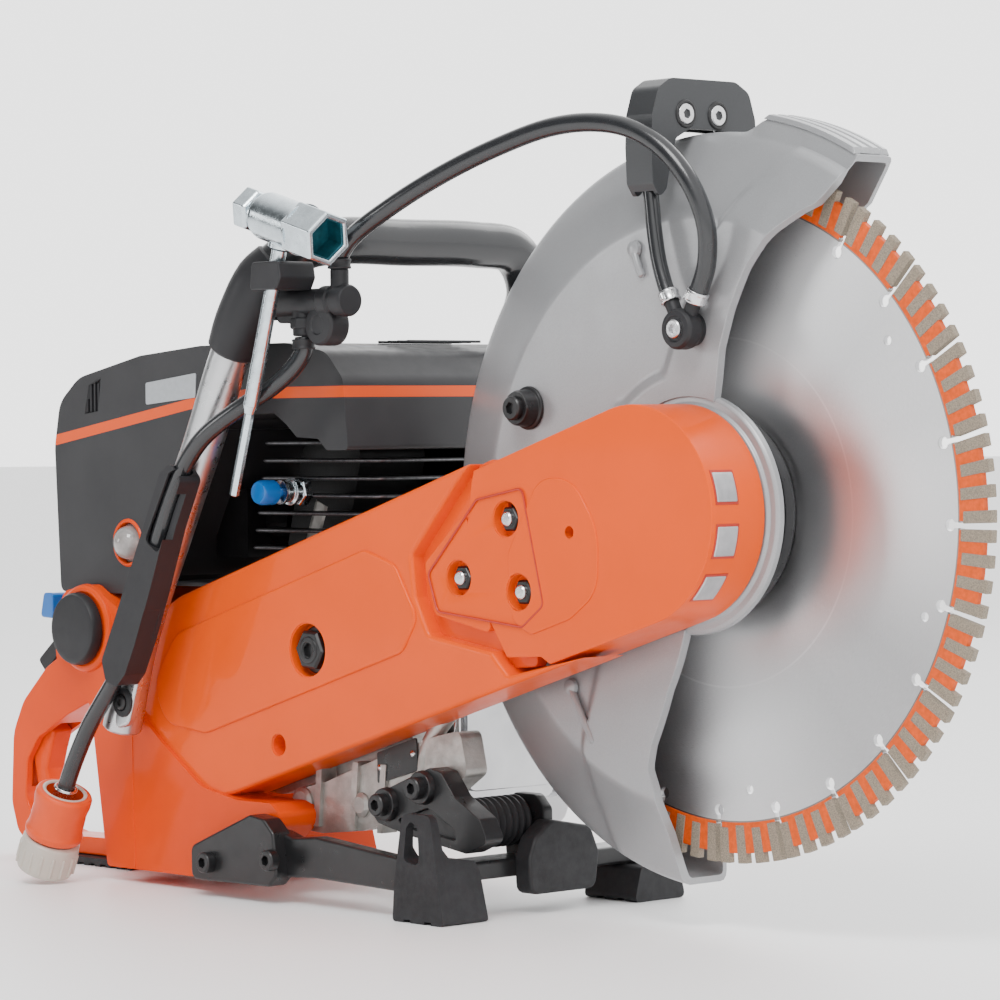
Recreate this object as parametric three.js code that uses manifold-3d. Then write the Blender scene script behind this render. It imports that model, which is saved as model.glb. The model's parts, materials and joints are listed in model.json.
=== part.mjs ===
// Hand-held petrol cut-off saw with a 400 mm diamond blade, wet-cutting kit and a
// belt-driven cutting arm. Millimetres, +Z up, +X forward (the blade end), +Y to the
// operator's left. Every shape is written in saw coordinates: the blade plane is y = 0,
// the spindle axis passes through x = 0, z = SPINDLE_Z, and the ground is z = 0. The
// finished group is then shifted so that the origin is the bottom centre of the saw.
import * as THREE from 'three';
import { mergeVertices } from 'three/addons/utils/BufferGeometryUtils.js';
import Module from 'manifold-3d';

const wasm = await Module();
wasm.setup();

// ---------------------------------------------------------------- driving dimensions
const GAP = 0.3;                    // air left between parts that touch
const SPINDLE_Z = 240;              // spindle axis above the ground
const BLADE_R = 200;                // 400 mm blade
const CORE_R = 178;                 // steel core under the segments
const SEGMENTS = 24;
const GUARD_R = 216;                // outside of the blade guard
const ARM_ANGLE = THREE.MathUtils.degToRad(17);
const ARM_LENGTH = 398;             // spindle axis to crankshaft axis
const FRONT_HALF = 62;              // half height of the front belt cover
const REAR_HALF = 66;               // half height of the rear belt cover
const WALL = 2.5;                   // wall of the belt covers
const SPINDLE_PULLEY_R = 52;
const DRIVE_PULLEY_R = 26;
const BORE_TILT = THREE.MathUtils.degToRad(22);   // cylinder leans forward
const BORE_R = 28;
const ENGINE_Y = 7;                 // centre plane of the cylinder bore
const COVER_RIGHT = -75;            // right and left faces of the top cover
const COVER_LEFT = 105;
const TANK_RIGHT = -82;
const TANK_LEFT = 62;
const HANDLE_Y = -19;               // centre plane of the rear handle
const TUBE_R = 12.5;                // front handle tube
const HOSE_R = 5.5;                 // water hose
const ORIGIN_SHIFT = [230.518, 1.487];    // moves the bottom centre of the saw to x = y = 0

const COLOURS = {
  orange: [0xe8702a, 0.25, 0.0],
  guardGrey: [0x9a9da0, 0.4, 0.5],
  plastic: [0x3b3b3d, 0.55, 0.0],
  black: [0x1c1c1e, 0.5, 0.2],
  casting: [0xa8a49e, 0.5, 0.8],
  steel: [0xb9bbbe, 0.3, 0.95],
  chrome: [0xd5dadd, 0.15, 1.0],
  blue: [0x1d8fd6, 0.35, 0.0],
  rubber: [0x222326, 0.8, 0.0],
  cream: [0xd8d4c8, 0.5, 0.0],
  silver: [0xc9ccce, 0.35, 0.9],
};

// ---------------------------------------------------------------- geometry helpers
const rad = THREE.MathUtils.degToRad;

function solid(geometry) {
  const bare = geometry.clone();
  bare.deleteAttribute('normal');
  bare.deleteAttribute('uv');
  const merged = mergeVertices(bare, 1e-4);
  return new wasm.Manifold(new wasm.Mesh({
    numProp: 3,
    vertProperties: new Float32Array(merged.attributes.position.array),
    triVerts: new Uint32Array(merged.index.array),
  }));
}

function join(...pieces) {
  return pieces.reduce((sum, piece) => sum.add(piece));
}

// Outline given as [x, z] corners, extruded across the saw from y0 to y1.
function plate(corners, y0, y1) {
  const shape = new THREE.Shape(corners.map(([x, z]) => new THREE.Vector2(x, z)));
  const slab = new THREE.ExtrudeGeometry(shape, { depth: y1 - y0, bevelEnabled: false });
  slab.rotateX(Math.PI / 2);
  slab.translate(0, y1, 0);
  return solid(slab);
}

// Outline given as [y, z] corners, extruded along the saw from x0 to x1.
function crossPlate(corners, x0, x1) {
  const shape = new THREE.Shape(corners.map(([y, z]) => new THREE.Vector2(y, z)));
  const slab = new THREE.ExtrudeGeometry(shape, { depth: x1 - x0, bevelEnabled: false });
  slab.rotateX(Math.PI / 2);
  slab.rotateZ(Math.PI / 2);
  slab.translate(x0, 0, 0);
  return solid(slab);
}

function box(x0, x1, y0, y1, z0, z1) {
  const cube = new THREE.BoxGeometry(x1 - x0, y1 - y0, z1 - z0);
  cube.translate((x0 + x1) / 2, (y0 + y1) / 2, (z0 + z1) / 2);
  return solid(cube);
}

// Cylinder between two points; a second radius makes it a cone.
function rod(from, to, radius, sides = 16, endRadius = radius) {
  const start = new THREE.Vector3(...from);
  const along = new THREE.Vector3(...to).sub(start);
  const bar = new THREE.CylinderGeometry(endRadius, radius, along.length(), sides);
  const turn = new THREE.Quaternion();
  turn.setFromUnitVectors(new THREE.Vector3(0, 1, 0), along.clone().normalize());
  bar.applyQuaternion(turn);
  bar.translate(...start.addScaledVector(along, 0.5).toArray());
  return solid(bar);
}

function disc([x, z], radius, y0, y1, sides = 24) {
  return rod([x, y0, z], [x, y1, z], radius, sides);
}

// Body of revolution about a cross axis through [x, z]; profile is [radius, y] pairs.
function turned([x, z], profile, sides = 30) {
  const line = profile.map(([r, y]) => new THREE.Vector2(r, y));
  if (THREE.ShapeUtils.area(line) < 0) line.reverse();
  const lathe = new THREE.LatheGeometry(line, sides);
  lathe.translate(x, 0, z);
  return solid(lathe);
}

// Round bar along a smooth curve through the points.
function bentRod(points, radius, steps, sides = 10) {
  const curve = new THREE.CatmullRomCurve3(points.map((p) => new THREE.Vector3(...p)));
  const section = new THREE.Shape();
  for (let i = 0; i < sides; i += 1) {
    const angle = (2 * Math.PI * i) / sides;
    const corner = [radius * Math.cos(angle), radius * Math.sin(angle)];
    if (i === 0) section.moveTo(...corner);
    else section.lineTo(...corner);
  }
  section.closePath();
  return solid(new THREE.ExtrudeGeometry(section, { steps, extrudePath: curve }));
}

function arc([x, z], radius, fromDeg, toDeg, count) {
  return Array.from({ length: count + 1 }, (_, i) => {
    const angle = rad(fromDeg + ((toDeg - fromDeg) * i) / count);
    return [x + radius * Math.cos(angle), z + radius * Math.sin(angle)];
  });
}

// Point behind the spindle by s along the arm and t above the arm's centre line.
function onArm(s, t) {
  return [
    -s * Math.cos(ARM_ANGLE) - t * Math.sin(ARM_ANGLE),
    SPINDLE_Z - s * Math.sin(ARM_ANGLE) + t * Math.cos(ARM_ANGLE),
  ];
}

// Point in polar form about the spindle.
function aboutSpindle(radius, degrees) {
  return [radius * Math.cos(rad(degrees)), SPINDLE_Z + radius * Math.sin(rad(degrees))];
}

const SPINDLE = [0, SPINDLE_Z];
const CRANK = onArm(ARM_LENGTH, 0);
const ARM_DEG = THREE.MathUtils.radToDeg(ARM_ANGLE);

const saw = new THREE.Group();

function part(name, body, [colour, roughness, metalness]) {
  const out = body.getMesh();
  const geometry = new THREE.BufferGeometry();
  geometry.setAttribute('position', new THREE.BufferAttribute(out.vertProperties, 3));
  geometry.setIndex(new THREE.BufferAttribute(out.triVerts, 1));
  const mesh = new THREE.Mesh(
    geometry,
    new THREE.MeshStandardMaterial({ color: colour, roughness, metalness }),
  );
  mesh.name = name;
  saw.add(mesh);
}

// ---------------------------------------------------------------- blade and spindle
const ARBOR_R = 12.5;

function cuttingBlade() {
  const pitch = 360 / SEGMENTS;
  const slotHalf = 1.5;
  const slotEnd = 170;
  const keyhole = 3.4;
  const firstSlot = 58.3;
  const coreHalf = 1.6;
  const segmentHalf = 2.2;
  const outline = [];
  let segments = null;
  for (let i = 0; i < SEGMENTS; i += 1) {
    const slot = firstSlot + i * pitch;
    const centre = aboutSpindle(slotEnd, slot);
    const lip = THREE.MathUtils.radToDeg(slotHalf / CORE_R);
    outline.push(aboutSpindle(CORE_R, slot - lip));
    outline.push(...arc(centre, keyhole, slot - 55, slot - 305, 3));
    outline.push(aboutSpindle(CORE_R, slot + lip));
    outline.push(aboutSpindle(CORE_R, slot + pitch / 2));
    const inner = arc(SPINDLE, CORE_R - 2, slot + 1, slot + pitch - 1, 1);
    const outer = arc(SPINDLE, BLADE_R, slot + pitch - 0.6, slot + 0.6, 2);
    const segment = plate([...inner, ...outer], -segmentHalf, segmentHalf);
    segments = segments ? segments.add(segment) : segment;
  }
  const core = plate(outline, -coreHalf, coreHalf);
  const bore = disc(SPINDLE, ARBOR_R + GAP, -5, 5);
  return core.add(segments).subtract(bore);
}

const BLADE_FACE = 1.6 + GAP;
const FLANGE_R = 52.5;
const INNER_FLANGE_BACK = -22;
const OUTER_FLANGE_FACE = 10;

part('cutting_blade', cuttingBlade(), COLOURS.steel);
part('inner_flange', turned(SPINDLE, [
  [ARBOR_R + GAP, -BLADE_FACE],
  [FLANGE_R + 10, -BLADE_FACE],
  [FLANGE_R + 10, INNER_FLANGE_BACK + 5],
  [FLANGE_R + 6, INNER_FLANGE_BACK],
  [ARBOR_R + GAP, INNER_FLANGE_BACK],
  [ARBOR_R + GAP, -BLADE_FACE],
]), COLOURS.black);
part('outer_flange', turned(SPINDLE, [
  [ARBOR_R + GAP, BLADE_FACE],
  [ARBOR_R + GAP, OUTER_FLANGE_FACE],
  [30, OUTER_FLANGE_FACE],
  [FLANGE_R, BLADE_FACE + 5],
  [FLANGE_R, BLADE_FACE],
  [ARBOR_R + GAP, BLADE_FACE],
]), COLOURS.black);

const SPINDLE_REAR = -69;
const SPINDLE_NOSE = 8;
const BOLT_R = 5;
part('spindle', turned(SPINDLE, [
  [0, SPINDLE_REAR],
  [0, -20],
  [BOLT_R + GAP, -20],
  [BOLT_R + GAP, SPINDLE_NOSE],
  [ARBOR_R, SPINDLE_NOSE],
  [ARBOR_R, SPINDLE_REAR],
  [0, SPINDLE_REAR],
], 28), COLOURS.steel);
part('arbor_bolt', join(
  disc(SPINDLE, BOLT_R, -18, OUTER_FLANGE_FACE + 2, 16),
  disc(SPINDLE, 22, OUTER_FLANGE_FACE + GAP, OUTER_FLANGE_FACE + 4, 28),
  disc(SPINDLE, 11, OUTER_FLANGE_FACE + 3, OUTER_FLANGE_FACE + 11, 6),
), COLOURS.black);

const BELT_RIGHT = -63;
const BELT_LEFT = -49;
part('spindle_pulley', turned(SPINDLE, [
  [ARBOR_R + GAP, BELT_RIGHT],
  [ARBOR_R + GAP, BELT_LEFT + 1],
  [22, BELT_LEFT + 1],
  [22, -53],
  [44, -53],
  [44, BELT_LEFT],
  [SPINDLE_PULLEY_R, BELT_LEFT],
  [SPINDLE_PULLEY_R, BELT_RIGHT],
  [44, BELT_RIGHT],
  [44, -59],
  [22, -59],
  [22, BELT_RIGHT],
  [ARBOR_R + GAP, BELT_RIGHT],
]), COLOURS.steel);

// ---------------------------------------------------------------- arm and belt drive
const ARM_RIGHT = -46;
const ARM_LEFT = -40;
const GUARD_INSIDE = -23.5;
const HOUSING_R = 44;
const BEARING_R = 21;

part('cutting_arm', plate([
  ...arc(SPINDLE, 52, ARM_DEG - 90, ARM_DEG + 90, 20),
  onArm(70, 46), onArm(160, 34), onArm(160, -34), onArm(70, -46),
], ARM_RIGHT, ARM_LEFT)
  .add(disc(SPINDLE, HOUSING_R, ARM_RIGHT, GUARD_INSIDE, 36))
  .subtract(disc(SPINDLE, BEARING_R, ARM_RIGHT - 1, GUARD_INSIDE + 1, 28)), COLOURS.casting);
part('spindle_bearing', turned(SPINDLE, [
  [ARBOR_R + GAP, ARM_RIGHT + 2],
  [ARBOR_R + GAP, GUARD_INSIDE - 2],
  [BEARING_R - GAP, GUARD_INSIDE - 2],
  [BEARING_R - GAP, ARM_RIGHT + 2],
  [ARBOR_R + GAP, ARM_RIGHT + 2],
], 28), COLOURS.steel);

// Belt loop: the outer or inner line round both pulleys, grown by the given amount.
function beltLine(grow) {
  const front = SPINDLE_PULLEY_R + grow;
  const rear = DRIVE_PULLEY_R + grow;
  const wrap = THREE.MathUtils.radToDeg(Math.acos((front - rear) / ARM_LENGTH));
  const back = ARM_DEG + 180;
  return [
    ...arc(SPINDLE, front, back + wrap, back + 360 - wrap, 22),
    ...arc(CRANK, rear, back - wrap, back + wrap, 14),
  ];
}
part('drive_belt', plate(beltLine(4), BELT_RIGHT + 0.5, BELT_LEFT - 0.5)
  .subtract(plate(beltLine(0.4), BELT_RIGHT, BELT_LEFT)), COLOURS.rubber);

const SHAFT_R = 8;
part('drive_pulley', turned(CRANK, [
  [SHAFT_R + GAP, BELT_LEFT],
  [DRIVE_PULLEY_R, BELT_LEFT],
  [DRIVE_PULLEY_R, BELT_RIGHT - 0.5],
  [38, BELT_RIGHT - 1.5],
  [38, -74],
  [35, -74],
  [35, -67],
  [SHAFT_R + GAP, -67],
  [SHAFT_R + GAP, BELT_LEFT],
], 32), COLOURS.steel);

const FRONT_FACE = -74;
const REAR_FACE = -80;
const FRONT_BACK = -32;
const REAR_BACK = -42;
const TONGUE = [[-134, 265], [-139, 241], [-175, 210], [-166, 180], [-116, 170], [-99, 152]];
const POCKET = [[-143, 257], [-182, 215], [-179, 190], [-167, 168], [-113, 160], [-99, 147]];
const NUTS = [[-104, 237], [-145, 202], [-93, 195]];
const NUT_HOLE_R = 11;
const TENSIONER = onArm(289, 0);
const TENSIONER_HOLE_R = 17;

function frontOutline(half, tail) {
  return [...arc(SPINDLE, half, ARM_DEG - 90, ARM_DEG + 90, 26), ...tail];
}

const frontShell = plate(
  frontOutline(FRONT_HALF, [onArm(118, FRONT_HALF), ...TONGUE, onArm(72, -FRONT_HALF)]),
  FRONT_FACE,
  FRONT_BACK,
);
const frontRoom = plate(frontOutline(FRONT_HALF - WALL, [
  onArm(240, FRONT_HALF - WALL), onArm(240, WALL - FRONT_HALF),
]), FRONT_FACE + WALL, FRONT_BACK + 1);
const nutHoles = join(...NUTS.map((nut) => disc(nut, NUT_HOLE_R, FRONT_FACE - 1, -60, 20)));
const drainHole = disc([-50, 230], 3.5, FRONT_FACE - 1, -70, 12);
part('belt_cover_front', frontShell.subtract(frontRoom).subtract(nutHoles)
  .subtract(drainHole), COLOURS.orange);

function rearOutline(half, front) {
  return [
    ...arc(CRANK, half, ARM_DEG + 90, ARM_DEG + 270, 22),
    ...front,
  ];
}
const rearShell = plate(
  rearOutline(REAR_HALF, [onArm(58, -REAR_HALF), ...[...POCKET].reverse(), onArm(116, REAR_HALF)]),
  REAR_FACE,
  REAR_BACK,
);
const rearRoom = plate(rearOutline(REAR_HALF - WALL, [
  onArm(20, WALL - REAR_HALF), onArm(20, REAR_HALF - WALL),
]), REAR_FACE + WALL, REAR_BACK + 1);
const strapHole = disc([-307, 96], 7, REAR_FACE - 1, -70, 16);
part('belt_cover_rear', rearShell.subtract(rearRoom)
  .subtract(disc(TENSIONER, TENSIONER_HOLE_R, REAR_FACE - 1, -70, 24))
  .subtract(strapHole), COLOURS.orange);
part('belt_tensioner', join(
  disc(TENSIONER, 14, -79, -70, 6),
  disc(TENSIONER, 8, -71, -49, 20),
  disc([TENSIONER[0] + 4, TENSIONER[1]], 14, -60, -50, 20),
).subtract(disc(TENSIONER, 5, -80, -74, 6)), COLOURS.black);

// ---------------------------------------------------------------- blade guard
const GUARD_NEAR = -27;
const GUARD_FAR = 26;
const HUB_DISC_R = 66;
const HUB_DISC_FACE = -31;

// Front edge of the guard, from the top of the mouth down to the lower lip.
const MOUTH_EDGE = [
  [118, 205], [99, 183], [91, 172], [80, 167], [64, 156], [45, 136], [33, 114], [25, 92],
  [20, 60], [-2, -60], [-18, -101], [-32, -133], [-35, -146], [-30, -158], [-26, -185],
  [-26, -214],
].map(([x, z]) => [x, SPINDLE_Z + z]);

function bladeGuard() {
  const outside = turned(SPINDLE, [
    [0, GUARD_NEAR], [167, GUARD_NEAR], [212, -9], [GUARD_R, -5], [GUARD_R, 22],
    [212, GUARD_FAR], [0, GUARD_FAR], [0, GUARD_NEAR],
  ], 44);
  const inside = turned(SPINDLE, [
    [0, GUARD_INSIDE], [165.5, GUARD_INSIDE], [209, -6], [212, -2], [212, 20],
    [209, 22.5], [0, 22.5], [0, GUARD_INSIDE],
  ], 44);
  const flareOut = plate([
    ...arc(SPINDLE, 225, 60, 84, 8), ...arc(SPINDLE, 211, 84, 60, 8),
  ], -6, GUARD_FAR);
  const flareIn = plate([
    ...arc(SPINDLE, 221, 58, 78, 8), ...arc(SPINDLE, 205, 78, 58, 8),
  ], -2, 22.5);
  const hub = disc(SPINDLE, HUB_DISC_R, HUB_DISC_FACE, GUARD_INSIDE, 40);
  const edge = [...MOUTH_EDGE, [-26, -50], [400, -50], [400, 600], [170, 600]];
  const front = (y0, y1) => plate(edge, y0, y1);
  const window = disc(SPINDLE, 80, 0, GUARD_FAR + 1, 36);
  return outside.add(flareOut).subtract(inside).subtract(flareIn)
    .subtract(front(-40, 40)).add(hub)
    .subtract(window)
    .subtract(disc(SPINDLE, HOUSING_R + 0.6, -40, -20, 36));
}
part('blade_guard', bladeGuard(), COLOURS.guardGrey);

// Saddle handle over the rim: a hollow bow that the cross-over hose runs through.
const BOW_REAR = -34;
const BOW_FRONT = -13;
part('guard_handle', crossPlate([
  [-40, 432], [-43, 446], [-43, 478], [-36, 487], [36, 487], [43, 478], [43, 446], [40, 432],
], BOW_REAR, BOW_FRONT)
  .subtract(box(BOW_REAR + 3, BOW_FRONT - 3, -39, 39, 420, 476))
  .subtract(disc(SPINDLE, GUARD_R + 0.5, GUARD_NEAR - GAP, GUARD_FAR + GAP, 44)), COLOURS.guardGrey);

const NOZZLE = [6, SPINDLE_Z + 104];
const NOZZLE_Y = -38;
function waterNozzle(side) {
  const face = side < 0 ? GUARD_NEAR - GAP : GUARD_FAR + GAP;
  const outer = side * 45;
  const y = side * -NOZZLE_Y;
  const ports = side < 0 ? [-1, 1] : [-1];
  return ports.reduce((sum, way) => sum.add(
    rod([NOZZLE[0] + way * 3, y, NOZZLE[1] + 4], [NOZZLE[0] + way * 10, y, NOZZLE[1] + 17], 4, 12),
  ), disc(NOZZLE, 10, Math.min(face, outer), Math.max(face, outer), 24));
}
part('water_nozzle_right', waterNozzle(-1), COLOURS.black);
part('water_nozzle_left', waterNozzle(1), COLOURS.black);

// ---------------------------------------------------------------- engine
const TILT = [Math.sin(BORE_TILT), Math.cos(BORE_TILT)];
function alongBore(distance, across = 0) {
  return [
    CRANK[0] + TILT[0] * distance + TILT[1] * across,
    CRANK[1] + TILT[1] * distance - TILT[0] * across,
  ];
}
function boreRod(from, to, radius, sides) {
  const [x0, z0] = alongBore(from);
  const [x1, z1] = alongBore(to);
  return rod([x0, ENGINE_Y, z0], [x1, ENGINE_Y, z1], radius, sides);
}

const DECK = 52;
const CASE_RIGHT = -38;
const CASE_LEFT = 46;
const CASE_OUTLINE = [
  alongBore(DECK, -42), alongBore(DECK, 42), [-300, 150], [-297, 92], [-318, 70],
  [-352, 60], [-396, 62], [-424, 88], [-431, 125], [-424, 165],
];
const crankRoom = join(
  disc(CRANK, 41, -10, 24, 32),
  boreRod(0, DECK + 5, 31, 28),
);
const shaftHole = disc(CRANK, SHAFT_R + 0.5, -60, 80, 24);
const lug = plate([
  onArm(98, 36), onArm(300, 36), onArm(300, -36), onArm(98, -36),
], -39.7, FRONT_BACK);
const mountFlange = plate([
  [-337, 52], [-300, 72], [-238, 92], [-172, 110], [-166, 84], [-228, 52], [-300, 40], [-335, 42],
], -49.7, -33);
const caseWeb = plate([
  [-300, 66], [-228, 92], [-228, 150], [-300, 150],
], CASE_RIGHT, -12);
part('crankcase_right', join(
  plate(CASE_OUTLINE, CASE_RIGHT, ENGINE_Y - 0.15), lug, mountFlange, caseWeb,
).subtract(crankRoom).subtract(shaftHole), COLOURS.casting);
part('crankcase_left', plate(CASE_OUTLINE, ENGINE_Y + 0.15, CASE_LEFT)
  .subtract(crankRoom).subtract(shaftHole), COLOURS.casting);

const FIN_RIGHT = -41.5;
const FIN_LEFT = 60;
const FIN_COUNT = 8;
const FIN_PITCH = 11;
const FIN_FIRST = 203;
function engineCylinder() {
  let body = boreRod(DECK + GAP, 150, 34, 16);
  body = body.add(plate([
    alongBore(DECK + GAP, -41), alongBore(DECK + GAP, 41), alongBore(DECK + 7, 41),
    alongBore(DECK + 7, -41),
  ], -31, 42));
  for (let i = 0; i < FIN_COUNT; i += 1) {
    const z = FIN_FIRST + i * FIN_PITCH;
    body = body.add(box(-382, -252, FIN_RIGHT, FIN_LEFT, z, z + 2.4));
  }
  const core = plate([[-370, 203], [-310, 203], [-290, 281], [-350, 281]], -20, 34);
  const [plugX, plugZ] = alongBore(170);
  return body.add(core)
    .subtract(boreRod(DECK - 2, 132, BORE_R + 0.2, 24))
    .subtract(rod([plugX, ENGINE_Y, plugZ - 30], [plugX, ENGINE_Y, plugZ + 30], 8.5, 12))
    .subtract(disc([-323, 251], 5, FIN_RIGHT - 1, -30, 12));
}
part('cylinder', engineCylinder(), COLOURS.black);

const [PLUG_X, PLUG_Z] = alongBore(170);
part('spark_plug', join(
  rod([PLUG_X, ENGINE_Y, PLUG_Z - 28], [PLUG_X, ENGINE_Y, PLUG_Z + 8], 7, 14),
  rod([PLUG_X, ENGINE_Y, PLUG_Z + 7], [PLUG_X, ENGINE_Y, PLUG_Z + 15], 10, 6),
  rod([PLUG_X, ENGINE_Y, PLUG_Z + 14], [PLUG_X, ENGINE_Y, PLUG_Z + 44], 6, 14),
), COLOURS.cream);

const THROW = 19;                   // half the 38 mm stroke
const ROD_LENGTH = 92;
const PIN_HIGH = alongBore(THROW + ROD_LENGTH);
const CRANKPIN = alongBore(THROW);
const WEB_RIGHT = 1;
const WEB_LEFT = 13;
part('crankshaft_drive_half', join(
  disc(CRANK, SHAFT_R, -73, -7, 24),
  disc(CRANK, 30, -8, WEB_RIGHT, 28),
), COLOURS.steel);
part('crankshaft_starter_half', join(
  disc(CRANK, 30, WEB_LEFT, 22, 28),
  disc(CRANK, SHAFT_R, 21, 88, 24),
), COLOURS.steel);
part('connecting_rod', join(
  disc(CRANKPIN, 13, WEB_RIGHT + 1, WEB_LEFT - 1, 24),
  rod([CRANKPIN[0], ENGINE_Y, CRANKPIN[1]], [PIN_HIGH[0], ENGINE_Y, PIN_HIGH[1]], 4.5, 12),
  disc(PIN_HIGH, 9, WEB_RIGHT + 1, WEB_LEFT - 1, 20),
).subtract(disc(PIN_HIGH, 5.1, WEB_RIGHT, WEB_LEFT, 16)), COLOURS.steel);
const pistonRoom = boreRod(THROW + ROD_LENGTH - 25, THROW + ROD_LENGTH + 12, 22, 20);
part('piston', boreRod(THROW + ROD_LENGTH - 20, THROW + ROD_LENGTH + 18, BORE_R - 0.1, 24)
  .subtract(pistonRoom)
  .add(disc(PIN_HIGH, 5, ENGINE_Y - 24, ENGINE_Y + 24, 16)), COLOURS.steel);

part('flywheel', disc(CRANK, 48, 52, 58, 32)
  .add(disc(CRANK, 20, 57, 66, 24))
  .subtract(disc(CRANK, SHAFT_R + GAP, 50, 70, 24)), COLOURS.casting);

const STARTER_FACE = 96;
part('starter_housing', disc(CRANK, 64, 47, STARTER_FACE, 36)
  .subtract(disc(CRANK, 60, 46, STARTER_FACE - 4, 36))
  .subtract(rod([CRANK[0] + 30, 80, CRANK[1] + 34], [CRANK[0] + 30, 100, CRANK[1] + 34], 4, 12)),
COLOURS.orange);
part('starter_handle', join(
  rod([CRANK[0] + 30, 70, CRANK[1] + 34], [CRANK[0] + 30, 99, CRANK[1] + 34], 3, 12),
  box(CRANK[0] + 4, CRANK[0] + 56, STARTER_FACE + 1, STARTER_FACE + 16, CRANK[1] + 27,
    CRANK[1] + 41),
), COLOURS.plastic);

const DECOMP = [-323, 251];
part('decompression_valve', disc(DECOMP, 9, -62, FIN_RIGHT - GAP, 6)
  .add(disc(DECOMP, 4.6, FIN_RIGHT - 1, -31, 12))
  .subtract(disc(DECOMP, 3.4, -63, -50, 12)), COLOURS.chrome);
part('decompression_button', disc(DECOMP, 7.5, -80, -66.5, 20)
  .add(disc(DECOMP, 3, -67, -56, 12)), COLOURS.blue);

part('muffler', join(
  box(-289, -224, -5, 95, 40, 160),
  rod([-300, 30, 180], [-270, 30, 150], 12, 16),
).subtract(rod([-240, 60, 30], [-240, 60, 46], 9, 16)), COLOURS.silver);

part('carburettor', join(
  box(-436, -404, -22, 36, 208, 252),
  rod([-405, ENGINE_Y, 230], [-383, ENGINE_Y, 230], 14, 20),
), COLOURS.casting);
part('air_filter', box(-524, -442, -52, 84, 222, 302), COLOURS.cream);

// ---------------------------------------------------------------- top cover
const PRIMER = [-461, 218];
const COVER_OUTLINE = [
  [-539, 196], [-539, 285], [-530, 308], [-506, 324], [-446, 337], [-384, 343], [-300, 343],
  [-262, 337], [-246, 318], [-242, 290], [-268, 284], [-290, 296], [-312, 306], [-392, 299],
  [-438, 196],
];
const COVER_ROOM = [
  [-536, 100], [-536, 284], [-527, 305.5], [-505, 321], [-445, 334], [-384, 340], [-300, 340],
  [-263.5, 334], [-249, 317], [-245.5, 290], [-245.5, 100],
];
part('top_cover', plate(COVER_OUTLINE, COVER_RIGHT, COVER_LEFT)
  .subtract(plate(COVER_ROOM, COVER_RIGHT + 3, COVER_LEFT - 3))
  .subtract(disc(PRIMER, 14, COVER_RIGHT - 1, COVER_RIGHT + 5, 24)), COLOURS.plastic);
part('primer_bulb', turned(PRIMER, [
  [0, -84], [0, -71], [12.5, -71], [12.5, -77], [9, -82], [0, -84],
], 20), COLOURS.plastic);

// ---------------------------------------------------------------- tank and rear handle
const TANK_UPPER = [
  [-534, 168], [-520, 186], [-492, 191], [-464, 176], [-450, 146], [-450, 50], [-450, 9],
  [-478, 9], [-486, 60], [-494, 112], [-530, 138],
];
const TANK_LOWER = [
  [-451, 9], [-376, 9], [-382, 36], [-400, 46], [-451, 50],
];
const PLUG = [-498, 162];
const FILLER = [-500, 152];
part('fuel_tank', join(
  plate(TANK_UPPER, TANK_RIGHT, TANK_LEFT),
  plate(TANK_LOWER, TANK_RIGHT, TANK_LEFT),
  disc(PLUG, 28, TANK_RIGHT - 4, TANK_RIGHT + 2, 28),
  disc(FILLER, 20, TANK_LEFT - 2, TANK_LEFT + 6, 24),
), COLOURS.orange);
part('side_plug', disc(PLUG, 23, TANK_RIGHT - 12, TANK_RIGHT - 4 - GAP, 28), COLOURS.plastic);
part('fuel_cap', disc(FILLER, 19, TANK_LEFT + 6 + GAP, TANK_LEFT + 20, 24).add(box(
  FILLER[0] - 16, FILLER[0] + 16, TANK_LEFT + 18, TANK_LEFT + 26, FILLER[1] - 3, FILLER[1] + 3,
)), COLOURS.plastic);

const HANDLE_RIGHT = HANDLE_Y - 17;
const HANDLE_LEFT = HANDLE_Y + 17;
const LOOP_OUTLINE = [
  [-534.8, 166], [-572, 156], [-613, 137], [-645, 112], [-659, 86], [-661, 36], [-652, 16],
  [-632, 6], [-478.8, 6], [-479, 9.5], [-486.9, 60], [-494.4, 111.6], [-530.4, 137.7],
];
const LOOP_HOLE = [
  [-537, 126], [-592, 99], [-626, 82], [-639, 66], [-641, 40], [-628, 22], [-600, 17],
  [-500, 19], [-497, 40], [-506, 106],
];
part('rear_handle', plate(LOOP_OUTLINE, HANDLE_RIGHT, HANDLE_LEFT)
  .subtract(plate(LOOP_HOLE, HANDLE_RIGHT - 1, HANDLE_LEFT + 1))
  .subtract(plate([[-645, 50], [-636, 86], [-612, 98], [-604, 88], [-625, 78], [-638, 64]],
    HANDLE_Y - 10, HANDLE_Y + 10))
  .subtract(plate([[-634, 131], [-606, 150], [-596, 138], [-620, 120]],
    HANDLE_Y - 8, HANDLE_Y + 8)), COLOURS.orange);
part('throttle_trigger', plate([
  [-634, 82], [-616, 92], [-609, 86], [-617, 70], [-622, 50], [-630, 48], [-634, 64],
], HANDLE_Y - 8, HANDLE_Y + 8), COLOURS.orange);
part('throttle_lockout', plate([
  [-630, 134], [-608, 151], [-600, 144], [-612, 134], [-621, 125],
], HANDLE_Y - 6, HANDLE_Y + 6), COLOURS.plastic);
part('stop_switch', box(-566, -552, HANDLE_Y - 6, HANDLE_Y + 6, 163, 171), COLOURS.plastic);
part('choke_lever', join(
  box(-562, -548, -72, -52, 166, 184),
  box(-549, -535.5, -66, -58, 172, 178),
), COLOURS.blue);
part('rear_foot', box(-592, -506, -42, 4, 0, 6 - GAP), COLOURS.rubber);

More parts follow.
